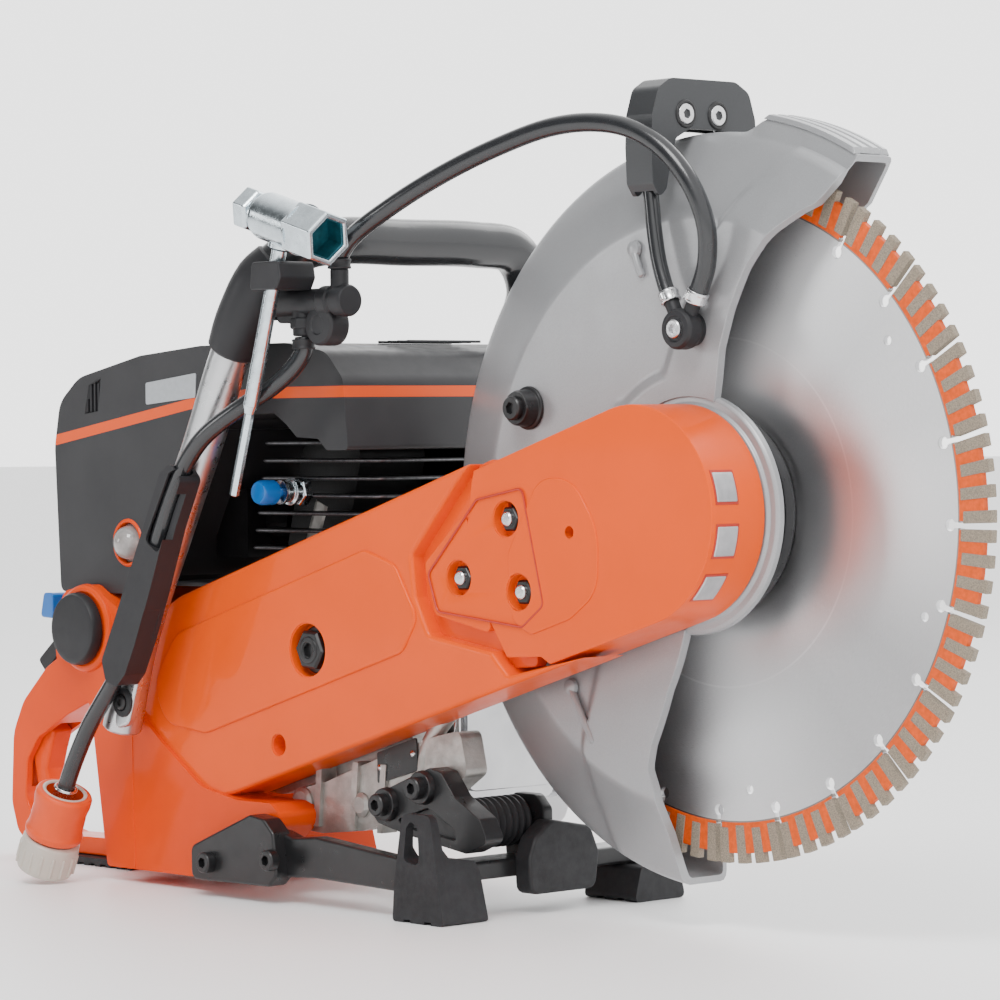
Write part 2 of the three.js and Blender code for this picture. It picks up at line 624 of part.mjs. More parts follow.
// ---------------------------------------------------------------- lower frame and feet
part('chassis_rail', join(
  plate([
    [-398, 14], [-398, 34], [-345, 52], [-331, 50], [-322, 40], [-322, 9], [-375, 9],
  ], -97, TANK_RIGHT - GAP),
  plate([
    [-330, 9], [-330, 50], [-318, 40], [-262, 42], [-180, 34], [-150, 34], [-150, 22],
    [-184, 22], [-184, 14], [-262, 18],
  ], -88, -74),
  box(-334, -322, -97, -74, 12, 48),
  box(-178, -150, -88, 98, 22, 34),
  crossPlate([[-5, 30], [48, 30], [48, 62], [38, 74], [5, 74], [-5, 62]], -178, -162),
), COLOURS.black);
part('front_bracket', plate([
  [-236, 76], [-226, 90], [-180, 104], [-166, 96], [-152, 50], [-158, 42], [-206, 50], [-226, 60],
], -64, -50), COLOURS.black);
part('isolator_spring', rod([-170, -49.5, 54], [-170, -5.5, 54], 15, 20), COLOURS.steel);
part('front_foot_right', join(
  plate([[-182, 0], [-137, 0], [-141, 22], [-149, 64], [-174, 64], [-180, 22]], -96, -88.4),
  crossPlate([[-92, 0], [-60, 0], [-62, 21.6], [-92, 21.6]], -182, -137),
).subtract(plate([[-171, 34], [-158, 34], [-160, 54], [-168, 54]], -98, -86)), COLOURS.rubber);
part('front_foot_left', crossPlate([[60, 0], [104, 0], [98, 21.6], [66, 21.6]], -182, -137),
  COLOURS.rubber);

// ---------------------------------------------------------------- front handle
const LEG_Y = -97;
const FAR_LEG_Y = 120;
const HANDLE_PATH = [
  [-441, LEG_Y, 100], [-422, LEG_Y, 157], [-381, LEG_Y, 234], [-353, LEG_Y, 284],
  [-325, LEG_Y, 338], [-298, -93, 381], [-280, -76, 401], [-275, -50, 405], [-275, 0, 405],
  [-275, 60, 405], [-277, 95, 401], [-284, 115, 378], [-303, FAR_LEG_Y, 345],
  [-335, FAR_LEG_Y, 300], [-375, FAR_LEG_Y, 245], [-415, FAR_LEG_Y, 200], [-450, 112, 160],
  [-468, 95, 128], [-472, 80, 108],
];
part('front_handle', bentRod(HANDLE_PATH, TUBE_R, 34, 10), COLOURS.silver);

// ---------------------------------------------------------------- wrench and valve
const WRENCH_Y = -119;
const SHANK_TOP = [-248, WRENCH_Y, 405];
const SHANK_STEP = [-280, WRENCH_Y, 304];
const SHANK_TIP = [-297, WRENCH_Y, 250];
part('combination_wrench', join(
  rod([-280, WRENCH_Y, 423], [-262, WRENCH_Y, 417.7], 13, 6),
  rod([-264, WRENCH_Y, 418.3], [-226, WRENCH_Y, 407.2], 14.5, 24),
  rod([-230, WRENCH_Y, 408.3], [-205, WRENCH_Y, 401], 17, 6),
  rod(SHANK_STEP, SHANK_TOP, 4.6, 12),
  rod(SHANK_TIP, [-279, WRENCH_Y, 307], 3, 10),
).subtract(rod([-203, WRENCH_Y, 400.4], [-222, WRENCH_Y, 406], 14, 6)), COLOURS.chrome);

part('water_valve', join(
  rod([-286, -97, 366], [-212, -97, 366], 8, 20),
  disc([-234, 352], 11, -106, -88, 24),
  rod([-222, -97, 366], [-222, -97, 384], 4.5, 12),
  rod([-256, -97, 366], [-256, -97, 346], 4.5, 12),
  box(-303, -266, -84, -77, 356, 366),
  box(-278, -266, -96, -77, 356, 366),
  box(-268, -242, -128, -100, 374, 388),
  box(-268, -256, -108, -96, 366, 388),
).subtract(rod(SHANK_STEP, SHANK_TOP, 5.4, 12)), COLOURS.plastic);
part('valve_lever', join(
  disc([-300, 362], 6, -76.5, -71, 16),
  plate([[-303, 357], [-325, 373], [-319, 380], [-297, 367]], -76, -71.5),
), COLOURS.blue);

// ---------------------------------------------------------------- water hoses
const WATER_ROUTE = [
  [-222, -97, 384.5], [-222, -97, 391.5], [-211, -96.5, 403], [-180, -92.5, 420],
  [-141, -84.5, 438], [-104, -76, 451.5], [-70, -68, 460.5], [-43, -62, 462], [-19, -57, 458],
  [1, -53, 448], [17, -50, 433], [27, -47, 416], [30, -43, 398], [26, -39.5, 379],
  [20, -38, 368], [16.3, -38, 361.4],
];
const CROSS_ROUTE = [
  [-4.3, -38, 361.4], [-8, -38, 369], [-13, -37.6, 382], [-16.5, -37, 396], [-20, -35.6, 412],
  [-23.5, -33.5, 430], [-23.5, -28, 452], [-23.5, -12, 464], [-23.5, 4, 466], [-23.5, 21, 463.5],
  [-23.5, 31.5, 450], [-23.5, 33.5, 430], [-20, 35.6, 412], [-16.5, 37, 396], [-13, 37.6, 382],
  [-8, 38, 369], [-4.3, 38, 361.4],
];
const SUPPLY_ROUTE = [
  [-256, -97, 345.5], [-256, -97, 337], [-262, -100, 327], [-277, -105.5, 315],
  [-300, -113, 302], [-328, -118, 285], [-352, -118, 261], [-370, -118, 230],
  [-385, -118, 195], [-398, -118, 167], [-409, -118, 148], [-421, -118, 132],
  [-434, -118, 118], [-447, -118, 103.5], [-459, -118, 86.5], [-467, -118, 73.5],
  [-473.1, -118, 62.1],
];
const CROSS_R = 4.5;
part('water_hose', bentRod(WATER_ROUTE, HOSE_R, 32, 8), COLOURS.rubber);
part('crossover_hose', bentRod(CROSS_ROUTE, CROSS_R, 30, 8), COLOURS.rubber);
part('supply_hose', bentRod(SUPPLY_ROUTE, HOSE_R, 34, 8), COLOURS.rubber);

// Channel clipped along the near leg of the front handle; the supply hose lies in it.
const GUIDE_RIGHT = -126;
const GUIDE_LEFT = LEG_Y - TUBE_R - GAP;
part('hose_guide', plate([
  [-361, 264], [-351, 270], [-340, 260], [-356, 230], [-373, 190], [-387, 160], [-399, 138],
  [-408, 130], [-419, 133], [-423, 146], [-389, 210],
], GUIDE_RIGHT, GUIDE_LEFT)
  .subtract(bentRod(SUPPLY_ROUTE, HOSE_R + 0.8, 34, 8)), COLOURS.plastic);

// Quick coupling on the end of the supply hose, standing on the ground.
const COUPLING_TOP = [-474, -118, 60];
const COUPLING_DIR = [-0.425, 0, -0.905];
const SLEEVE_END = 33;
function onCoupling(distance) {
  return COUPLING_TOP.map((value, i) => value + COUPLING_DIR[i] * distance);
}
part('coupling_body', join(
  rod(onCoupling(-2), onCoupling(9), 5.5, 16),
  rod(onCoupling(8), onCoupling(SLEEVE_END + 3), 11.5, 24),
  rod(onCoupling(SLEEVE_END + GAP), onCoupling(57), 18.5, 28),
), COLOURS.cream);
part('coupling_sleeve', rod(onCoupling(0), onCoupling(SLEEVE_END), 18, 28)
  .subtract(rod(onCoupling(-1), onCoupling(SLEEVE_END + 1), 12.5, 24)), COLOURS.orange);

saw.position.set(...ORIGIN_SHIFT, 0);
export default saw;
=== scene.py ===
import json
import math

import bmesh
import bpy
from mathutils import Matrix, Vector


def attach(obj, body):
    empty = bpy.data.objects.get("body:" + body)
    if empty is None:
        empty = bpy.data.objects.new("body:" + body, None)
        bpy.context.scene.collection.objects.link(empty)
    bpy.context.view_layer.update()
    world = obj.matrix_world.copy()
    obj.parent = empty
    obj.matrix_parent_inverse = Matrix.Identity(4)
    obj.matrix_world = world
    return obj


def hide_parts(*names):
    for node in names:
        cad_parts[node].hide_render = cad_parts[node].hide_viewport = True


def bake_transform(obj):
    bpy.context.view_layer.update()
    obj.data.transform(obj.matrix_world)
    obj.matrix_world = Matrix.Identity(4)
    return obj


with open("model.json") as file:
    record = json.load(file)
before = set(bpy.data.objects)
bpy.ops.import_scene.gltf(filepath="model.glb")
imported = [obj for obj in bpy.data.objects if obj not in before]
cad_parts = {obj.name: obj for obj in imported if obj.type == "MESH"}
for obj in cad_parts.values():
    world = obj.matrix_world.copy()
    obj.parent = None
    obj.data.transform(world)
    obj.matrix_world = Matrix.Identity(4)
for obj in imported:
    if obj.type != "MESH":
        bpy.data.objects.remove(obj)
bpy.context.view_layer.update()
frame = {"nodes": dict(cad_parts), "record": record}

SHIFT = (230.518, 1.487)          # from saw millimetres (spindle axis at x = 0, blade plane y = 0) to the row frame
SPINDLE = (0.0, 240.0)
HUB_Z = SPINDLE[1]
NEAR, FAR = (0, -1, 0), (0, 1, 0)     # towards the belt cover side and away from it
ARM = math.radians(17)           # slope of the cutting arm
CRANK_DISTANCE = 398            # spindle axis to crankshaft axis
CRANK = (-CRANK_DISTANCE * math.cos(ARM), HUB_Z - CRANK_DISTANCE * math.sin(ARM))


def at(x, y, z):
    return Vector(((x + SHIFT[0]) / 1000, (y + SHIFT[1]) / 1000, z / 1000))


def on_arm(s, t):
    return (-s * math.cos(ARM) - t * math.sin(ARM), HUB_Z - s * math.sin(ARM) + t * math.cos(ARM))


def arc(centre, radius, start, end, count):
    out = []
    for i in range(count + 1):
        a = math.radians(start + (end - start) * i / count)
        out.append((centre[0] + radius * math.cos(a), centre[1] + radius * math.sin(a)))
    return out


# ------------------------------------------------------------------ camera
def place_camera():
    azimuth, rise, roll = math.radians(47.35), math.radians(1.12), math.radians(-0.62)
    back = Vector((math.sin(azimuth) * math.cos(rise), -math.cos(azimuth) * math.cos(rise), math.sin(rise)))
    side = Vector((math.cos(azimuth), math.sin(azimuth), 0))
    up = back.cross(side)
    right = math.cos(roll) * side + math.sin(roll) * up
    top = -math.sin(roll) * side + math.cos(roll) * up
    data = bpy.data.cameras.new("camera")
    data.lens, data.sensor_width = 140.9, 36.0
    data.clip_end = 30
    cam = bpy.data.objects.new("camera", data)
    cam.matrix_world = Matrix.Translation(at(1553.1, -1604.5, 292.1)) @ Matrix((right, top, back)).transposed().to_4x4()
    bpy.context.scene.collection.objects.link(cam)
    bpy.context.scene.camera = cam


place_camera()


# ------------------------------------------------------------------ materials
class Nodes:
    """A Principled material with small helpers for its procedural inputs."""

    def __init__(self, name, colour, rough, metal=0.0, coat=0.0, coat_rough=0.05, specular=0.5, anisotropic=0.0):
        self.mat = bpy.data.materials.new(name)
        self.mat.use_nodes = True
        self.tree = self.mat.node_tree
        self.shader = self.tree.nodes["Principled BSDF"]
        self.set("Base Color", (*colour, 1))
        self.set("Roughness", rough)
        self.set("Metallic", metal)
        self.set("Coat Weight", coat)
        self.set("Coat Roughness", coat_rough)
        self.set("Specular IOR Level", specular)
        self.set("Anisotropic", anisotropic)
        self.colour, self.rough = colour, rough
        self.coords = self.tree.nodes.new("ShaderNodeTexCoord").outputs["Object"]
        self.last_bump = None

    def set(self, socket, value):
        self.shader.inputs[socket].default_value = value

    def link(self, a, b):
        self.tree.links.new(a, b)

    def stretch(self, scale):
        node = self.tree.nodes.new("ShaderNodeMapping")
        node.inputs["Scale"].default_value = scale
        self.link(self.coords, node.inputs["Vector"])
        return node.outputs["Vector"]

    def noise(self, scale, detail=4.0, rough=0.55, vector=None):
        node = self.tree.nodes.new("ShaderNodeTexNoise")
        node.inputs["Scale"].default_value = scale
        node.inputs["Detail"].default_value = detail
        node.inputs["Roughness"].default_value = rough
        self.link(vector or self.coords, node.inputs["Vector"])
        return node.outputs["Fac"]

    def math(self, kind, a, b=None, c=None):
        node = self.tree.nodes.new("ShaderNodeMath")
        node.operation = kind
        for i, v in enumerate((a, b, c)):
            if v is None:
                continue
            if isinstance(v, (int, float)):
                node.inputs[i].default_value = v
            else:
                self.link(v, node.inputs[i])
        return node.outputs[0]

    def ramp(self, fac, low, high, a, b):
        node = self.tree.nodes.new("ShaderNodeMapRange")
        node.inputs["From Min"].default_value = low
        node.inputs["From Max"].default_value = high
        node.inputs["To Min"].default_value = a
        node.inputs["To Max"].default_value = b
        self.link(fac, node.inputs["Value"])
        return node.outputs["Result"]

    def mix(self, fac, a, b):
        node = self.tree.nodes.new("ShaderNodeMix")
        node.data_type = "RGBA"
        self.link(fac, node.inputs["Factor"])
        for socket, v in ((node.inputs[6], a), (node.inputs[7], b)):
            if isinstance(v, tuple):
                socket.default_value = (*v, 1)
            else:
                self.link(v, socket)
        return node.outputs[2]

    def mottle(self, scale, amount, detail=3.0):
        fac = self.ramp(self.noise(scale, detail), 0.3, 0.7, 0, 1)
        dark = tuple(c * (1 - amount) for c in self.colour)
        light = tuple(min(1, c * (1 + amount)) for c in self.colour)
        out = self.mix(fac, dark, light)
        self.link(out, self.shader.inputs["Base Color"])
        return out

    def vary_rough(self, scale, amount):
        out = self.ramp(self.noise(scale, 5), 0.3, 0.7, max(0.02, self.rough - amount), min(1, self.rough + amount))
        self.link(out, self.shader.inputs["Roughness"])

    def bump(self, height, distance, strength=1.0):
        node = self.tree.nodes.new("ShaderNodeBump")
        node.inputs["Distance"].default_value = distance
        node.inputs["Strength"].default_value = strength
        self.link(height, node.inputs["Height"])
        if self.last_bump is not None:
            self.link(self.last_bump, node.inputs["Normal"])
        self.last_bump = node.outputs["Normal"]
        self.link(self.last_bump, self.shader.inputs["Normal"])


def radial_brush(n, centre, amount=0.25, scale=9000.0):
    """Fine rings about a cross axis, as a turned or ground disc has."""
    parts = n.tree.nodes.new("ShaderNodeSeparateXYZ")
    n.link(n.coords, parts.inputs[0])
    dx = n.math("SUBTRACT", parts.outputs[0], centre.x)
    dz = n.math("SUBTRACT", parts.outputs[2], centre.z)
    radius = n.math("SQRT", n.math("ADD", n.math("MULTIPLY", dx, dx), n.math("MULTIPLY", dz, dz)))
    joined = n.tree.nodes.new("ShaderNodeCombineXYZ")
    n.link(radius, joined.inputs[0])
    angle = n.math("ARCTAN2", dz, dx)
    n.link(n.math("MULTIPLY", angle, 0.004), joined.inputs[1])
    lines = n.noise(scale, 3, 0.6, joined.outputs[0])
    n.link(n.ramp(lines, 0.3, 0.7, n.rough - amount * 0.3, n.rough + amount * 0.3), n.shader.inputs["Roughness"])
    n.bump(lines, 0.00001, 0.35)
    return radius, lines, angle


# name: (slot of its extra pieces, colour, roughness, shader options, mottle, roughness variation, bumps).
# mottle: noise scale, amount and detail. variation: noise scale and amount.
# bump: noise scale, detail and grain, then distance and strength.
MATERIALS = {
    "orange_paint": ("orange_paint", (0.80, 0.082, 0.0), 0.34, dict(coat=0.20, coat_rough=0.04, specular=0.1),
        (14, 0.035), (60, 0.05), (420, 2, 0.00006, 0.25)),
    "orange_plastic": ("orange_plastic", (0.72, 0.058, 0.0), 0.34, dict(coat=0.15, coat_rough=0.08, specular=0.1),
        (18, 0.05), (90, 0.06), (1500, 3, 0.00004, 0.4)),
    "guard_grey": ("guard_metal", (0.34, 0.345, 0.355), 0.36, dict(metal=0.35, coat=0.15, coat_rough=0.2),
        (3000, 0.10, 1.0), (45, 0.05), (900, 3, 0.00004, 0.35)),
    "bow_grey": (None, (0.045, 0.047, 0.050), 0.38, dict(metal=0.3),
        (2600, 0.10, 1.0), None, (900, 3, 0.00005, 0.4)),
    "dark_plastic": ("cover_plastic", (0.017, 0.017, 0.019), 0.48, dict(specular=0.35),
        (30, 0.12), (120, 0.06), (2200, 4, 0.7, 0.00008, 0.5)),
    "cover_plastic": (None, (0.026, 0.026, 0.028), 0.44, dict(specular=0.35),
        None, (120, 0.06), (2200, 4, 0.7, 0.00008, 0.5)),
    "black_metal": ("black_metal", (0.012, 0.012, 0.013), 0.34, dict(coat=0.1, coat_rough=0.2, specular=0.4),
        (40, 0.2), (150, 0.08), (1100, 4, 0.00007, 0.5)),
    "casting": ("casting", (0.47, 0.455, 0.43), 0.46, dict(metal=0.8),
        (60, 0.28, 6), (200, 0.12), (110, 4, 0.0012, 0.5), (900, 5, 0.7, 0.0002, 0.8)),
    "steel": ("steel", (0.55, 0.55, 0.56), 0.28, dict(metal=1.0), (80, 0.08), (400, 0.08)),
    "bright_stud": ("steel", (0.72, 0.72, 0.73), 0.22, dict(metal=1.0), None, (900, 0.1)),
    "zinc": (None, (0.62, 0.69, 0.73), 0.22, dict(metal=1.0), (140, 0.12, 5), (260, 0.1), (500, 4, 0.00008, 0.5)),
    "socket_teal": ("zinc", (0.02, 0.12, 0.15), 0.35, dict(metal=0.6), (200, 0.3), None),
    "muffler_steel": ("muffler_steel", (0.56, 0.56, 0.57), 0.16, dict(metal=1.0),
        (25, 0.12, 4), (70, 0.07), (60, 3, 0.0005, 0.25)),
    "tube_aluminium": ("aluminium_tube", (0.60, 0.61, 0.62), 0.30, dict(metal=0.95),
        (40, 0.05), (120, 0.06), (900, 2, 0.00002, 0.3)),
    "fin_black": (None, (0.008, 0.008, 0.009), 0.42, dict(metal=0.3), (120, 0.3), None, (700, 4, 0.0002, 0.6)),
    "fin_edge": ("black_metal", (0.17, 0.17, 0.18), 0.4, dict(metal=0.9), (300, 0.4), None),
    "blue_plastic": (None, (0.004, 0.13, 0.45), 0.30, dict(coat=0.3), (60, 0.06), None, (1500, 3, 0.00004, 0.4)),
    "rubber": ("rubber", (0.015, 0.015, 0.017), 0.58, dict(specular=0.4),
        (60, 0.25), (200, 0.1), (1300, 5, 0.7, 0.00015, 0.7)),
    "hose_rubber": ("rubber", (0.017, 0.018, 0.020), 0.22, dict(coat=0.25, coat_rough=0.1),
        None, (120, 0.06), (700, 3, 0.00006, 0.4)),
    "cream_plastic": ("cream_plastic", (0.50, 0.46, 0.40), 0.40, dict(coat=0.1),
        (40, 0.05), None, (1200, 3, 0.00006, 0.4)),
    "connector_orange": (None, (0.72, 0.075, 0.012), 0.38, dict(specular=0.3),
        (60, 0.05), None, (1400, 3, 0.00005, 0.4)),
    "grit": ("blade_steel", (0.27, 0.225, 0.17), 0.85, dict(), (1500, 0.35, 2), None, (1800, 4, 0.7, 0.0005, 0.9)),
    "segment_orange": ("blade_steel", (0.70, 0.085, 0.004), 0.55, dict(specular=0.3),
        (300, 0.15), None, (1500, 3, 0.0001, 0.5)),
    "red_line": ("orange_paint", (0.45, 0.02, 0.005), 0.4, dict(), (200, 0.1), None),
    "label_blank": ("cover_plastic", (0.42, 0.44, 0.46), 0.35, dict(metal=0.5), (300, 0.05), None),
    "insert_silver": ("steel", (0.50, 0.50, 0.51), 0.30, dict(metal=0.9), (150, 0.12), None, (800, 3, 0.0001, 0.5)),
    "ceramic": (None, (0.85, 0.84, 0.80), 0.15, dict(), (80, 0.04), None),
    "filter_paper": (None, (0.70, 0.62, 0.48), 0.8, dict(), (120, 0.1), None),
    "bulb_clear": (None, (0.30, 0.28, 0.27), 0.12, dict(coat=0.6), (90, 0.3), None),
}


def make_blade_steel():
    n = Nodes("blade_steel", (0.60, 0.60, 0.61), 0.34, metal=1.0, anisotropic=0.8)
    radius, lines, angle = radial_brush(n, at(0, 0, HUB_Z))
    inner = n.ramp(radius, 0.060, 0.125, 0.24, 0.0)
    n.link(n.math("ADD", n.ramp(lines, 0.3, 0.7, 0.27, 0.41), inner), n.shader.inputs["Roughness"])
    tangent = n.tree.nodes.new("ShaderNodeTangent")
    tangent.direction_type, tangent.axis = "RADIAL", "Y"
    n.link(tangent.outputs[0], n.shader.inputs["Tangent"])
    ring = n.math("COMPARE", radius, 0.0995, 0.0006)
    weld = n.math("COMPARE", radius, 0.1765, 0.0009)
    tone = n.mix(n.ramp(lines, 0.3, 0.7, 0, 1), (0.50, 0.50, 0.51), (0.66, 0.66, 0.67))
    # painted highlight: bright radial fans of reflected light, painted into the base colour by angle
    painted_highlight_fan = n.math("COSINE", n.math("ADD", n.math("MULTIPLY", angle, 5.0), 0.5))
    tone = n.mix(n.ramp(painted_highlight_fan, -0.6, 1.0, 0, 0.55), tone, (0.86, 0.86, 0.87))
    tone = n.mix(n.math("MULTIPLY", ring, 0.35), tone, (0.85, 0.85, 0.86))
    tone = n.mix(n.math("MULTIPLY", weld, 0.8), tone, (0.16, 0.12, 0.09))
    n.link(tone, n.shader.inputs["Base Color"])
    return n.mat


def make_materials():
    made = {}
    for name, (_, colour, rough, options, mottle, variation, *bumps) in MATERIALS.items():
        n = Nodes(name, colour, rough, **options)
        if name == "cover_plastic":
            stripe_on(n)
        if name == "filter_paper":
            n.bump(n.noise(1, 1, 0.5, n.stretch((900, 20, 20))), 0.0008, 0.8)
        if mottle:
            n.mottle(*mottle)
        if variation:
            n.vary_rough(*variation)
        for *grain, distance, strength in bumps:
            n.bump(n.noise(*grain), distance, strength)
        made[name] = n.mat
    made["blade_steel"] = make_blade_steel()
    return made


def stripe_on(n):
    """The thin orange line that runs right round the top cover, rising towards the front."""
    parts = n.tree.nodes.new("ShaderNodeSeparateXYZ")
    n.link(n.coords, parts.inputs[0])
    x, z = parts.outputs[0], parts.outputs[2]
    height = n.math("ADD", n.ramp(x, at(-537, 0, 0).x, at(-395, 0, 0).x, 0.2845, 0.3065), n.ramp(x,
        at(-395, 0, 0).x, at(-330, 0, 0).x, 0.0, 0.006))
    line = n.math("COMPARE", z, height, 0.0034)
    groove = n.math("COMPARE", z, height, 0.0042)
    base = n.mix(n.ramp(n.noise(30, 3), 0.3, 0.7, 0, 1), (0.023, 0.023, 0.025), (0.030, 0.030, 0.032))
    n.link(n.mix(line, base, (0.74, 0.075, 0.003)), n.shader.inputs["Base Color"])
    n.bump(n.math("SUBTRACT", 1.0, groove), 0.0006, 0.6)


MAT = make_materials()


# ------------------------------------------------------------------ mesh helpers
def new_object(name, verts, faces):
    mesh = bpy.data.meshes.new(name)
    mesh.from_pydata(verts, [], faces)
    b = bmesh.new()
    b.from_mesh(mesh)
    bmesh.ops.remove_doubles(b, verts=b.verts, dist=1e-6)
    bmesh.ops.recalc_face_normals(b, faces=b.faces)
    b.to_mesh(mesh)
    b.free()
    obj = bpy.data.objects.new(name, mesh)
    bpy.context.scene.collection.objects.link(obj)
    return obj


def fillet(points, radius, count=4):
    out = []
    size = len(points)
    for i, p in enumerate(points):
        r = radius[i] if isinstance(radius, (list, tuple)) else radius
        p = Vector(p)
        a = Vector(points[i - 1]) - p
        b = Vector(points[(i + 1) % size]) - p
        if r <= 0 or a.length < 1e-6 or b.length < 1e-6:
            out.append(tuple(p))
            continue
        angle = a.angle(b)
        if angle > math.radians(172):
            out.append(tuple(p))
            continue
        cut = min(r / math.tan(angle / 2), a.length * 0.45, b.length * 0.45)
        start, end = p + a.normalized() * cut, p + b.normalized() * cut
        for k in range(count + 1):
            t = k / count
            q = start * (1 - t) ** 2 + p * 2 * t * (1 - t) + end * t ** 2
            out.append(tuple(q))
    return out


def prism(name, outline, lo, hi, axis="y"):
    place = {"y": lambda u, v, w: at(u, w, v), "x": lambda u, v, w: at(w, u, v), "z": lambda u, v, w: at(u, v, w)}[axis]
    count = len(outline)
    verts = [place(u, v, lo) for u, v in outline] + [place(u, v, hi) for u, v in outline]
    faces = [list(range(count)), list(range(2 * count - 1, count - 1, -1))]
    faces += [[i, (i + 1) % count, count + (i + 1) % count, count + i] for i in range(count)]
    return new_object(name, verts, faces)


def slab(name, points, radius, lo, hi, axis="y"):
    return prism(name, fillet(points, radius), lo, hi, axis)


def box(name, x0, x1, y0, y1, z0, z1):
    return prism(name, [(x0, z0), (x1, z0), (x1, z1), (x0, z1)], y0, y1)


def lathe(name, origin, direction, profile, sides=56, turn=0.0):
    """Profile of (radius, distance along the axis) pairs. It closes on itself unless both ends lie on the axis."""
    origin, axis = at(*origin), Vector(direction).normalized()
    u = axis.orthogonal().normalized()
    v = axis.cross(u)
    closed = profile[0][0] > 0 or profile[-1][0] > 0
    verts, faces, rings = [], [], []
    for r, d in profile:
        if r == 0:
            verts.append(origin + axis * d / 1000)
            rings.append([len(verts) - 1] * sides)
            continue
        ring = []
        for k in range(sides):
            a = 2 * math.pi * k / sides + turn
            verts.append(origin + axis * d / 1000 + (u * math.cos(a) + v * math.sin(a)) * r / 1000)
            ring.append(len(verts) - 1)
        rings.append(ring)
    pairs = list(zip(rings, rings[1:])) + ([(rings[-1], rings[0])] if closed else [])
    for a, b in pairs:
        for k in range(sides):
            q = [a[k], a[(k + 1) % sides], b[(k + 1) % sides], b[k]]
            q = [x for i, x in enumerate(q) if x not in q[:i]]
            if len(q) > 2:
                faces.append(q)
    return new_object(name, verts, faces)


def bar(name, start, end, radius, chamfer=0.8, sides=32, end_radius=None, turn=0.0):
    """A round or many-sided bar between two points, with broken edges."""
    a, b = Vector(start), Vector(end)
    length = (b - a).length
    r0, r1 = radius, radius if end_radius is None else end_radius
    c = min(chamfer, length / 3, r0 / 2, r1 / 2)
    profile = [(0, 0), (r0 - c, 0), (r0, c), (r1, length - c), (r1 - c, length), (0, length)]
    return lathe(name, start, b - a, profile, sides, turn)


def spline(points, per=8):
    """A smooth centripetal curve through the points."""
    p = [Vector(q) for q in points]
    p = [p[0] * 2 - p[1]] + p + [p[-1] * 2 - p[-2]]
    out = []
    for i in range(1, len(p) - 2):
        t = [0.0]
        for k in range(3):
            t.append(t[-1] + max(1e-6, (p[i + k] - p[i + k - 1]).length ** 0.5))
        for s in range(per):
            u = t[1] + (t[2] - t[1]) * s / per
            a1 = p[i - 1] * ((t[1] - u) / (t[1] - t[0])) + p[i] * ((u - t[0]) / (t[1] - t[0]))
            a2 = p[i] * ((t[2] - u) / (t[2] - t[1])) + p[i + 1] * ((u - t[1]) / (t[2] - t[1]))
            a3 = p[i + 1] * ((t[3] - u) / (t[3] - t[2])) + p[i + 2] * ((u - t[2]) / (t[3] - t[2]))
            b1 = a1 * ((t[2] - u) / (t[2] - t[0])) + a2 * ((u - t[0]) / (t[2] - t[0]))
            b2 = a2 * ((t[3] - u) / (t[3] - t[1])) + a3 * ((u - t[1]) / (t[3] - t[1]))
            out.append(b1 * ((t[2] - u) / (t[2] - t[1])) + b2 * ((u - t[1]) / (t[2] - t[1])))
    out.append(p[-2])
    return out


def sweep(name, points, radius, sides=20, per=8, cap=1.0):
    """A round tube along a smooth curve through the points. radius may be a list, one for each curve point."""
    line = spline(points, per)
    radii = radius if isinstance(radius, list) else [radius] * len(line)
    verts, faces = [], []
    tangent = (line[1] - line[0]).normalized()
    normal = tangent.orthogonal().normalized()
    stations = [(line[0], tangent, radii[0] - cap)]
    for i, q in enumerate(line):
        ahead = line[min(i + 1, len(line) - 1)] - line[max(i - 1, 0)]
        offset = ahead.normalized() * (cap if i == 0 else -cap if i == len(line) - 1 else 0)
        stations.append((q + offset, ahead.normalized(), radii[i]))
    stations.append((line[-1], ahead.normalized(), radii[-1] - cap))
    for q, tangent, r in stations:
        normal = (normal - tangent * normal.dot(tangent)).normalized()
        other = tangent.cross(normal)
        for k in range(sides):
            a = 2 * math.pi * k / sides
            verts.append(at(*(q + (normal * math.cos(a) + other * math.sin(a)) * r)))
    for s in range(len(stations) - 1):
        for k in range(sides):
            n = (k + 1) % sides
            faces.append([s * sides + k, s * sides + n, (s + 1) * sides + n, (s + 1) * sides + k])
    faces.append(list(range(sides)))
    faces.append(list(range((len(stations) - 1) * sides, len(stations) * sides)))
    return new_object(name, verts, faces), [at(*q) for q in line]


def bake(obj):
    depsgraph = bpy.context.evaluated_depsgraph_get()
    mesh = bpy.data.meshes.new_from_object(obj.evaluated_get(depsgraph))
    obj.modifiers.clear()
    obj.data = mesh
    return obj


def boolean(obj, others, operation):
    for other in others:
        mod = obj.modifiers.new("cut", "BOOLEAN")
        mod.object, mod.operation, mod.solver = other, operation, "EXACT"
    bpy.context.view_layer.update()
    bake(obj)
    for other in others:
        bpy.data.objects.remove(other)
    return obj


def cut(obj, *others):
    return boolean(obj, others, "DIFFERENCE")


def unite(obj, *others):
    return boolean(obj, others, "UNION")


def merge(name, *objects):
    """Several loose solids as one mesh."""
    b = bmesh.new()
    for o in objects:
        b.from_mesh(o.data)
    mesh = bpy.data.meshes.new(name)
    b.to_mesh(mesh)
    b.free()
    for o in objects:
        bpy.data.objects.remove(o)
    obj = bpy.data.objects.new(name, mesh)
    bpy.context.scene.collection.objects.link(obj)
    return obj


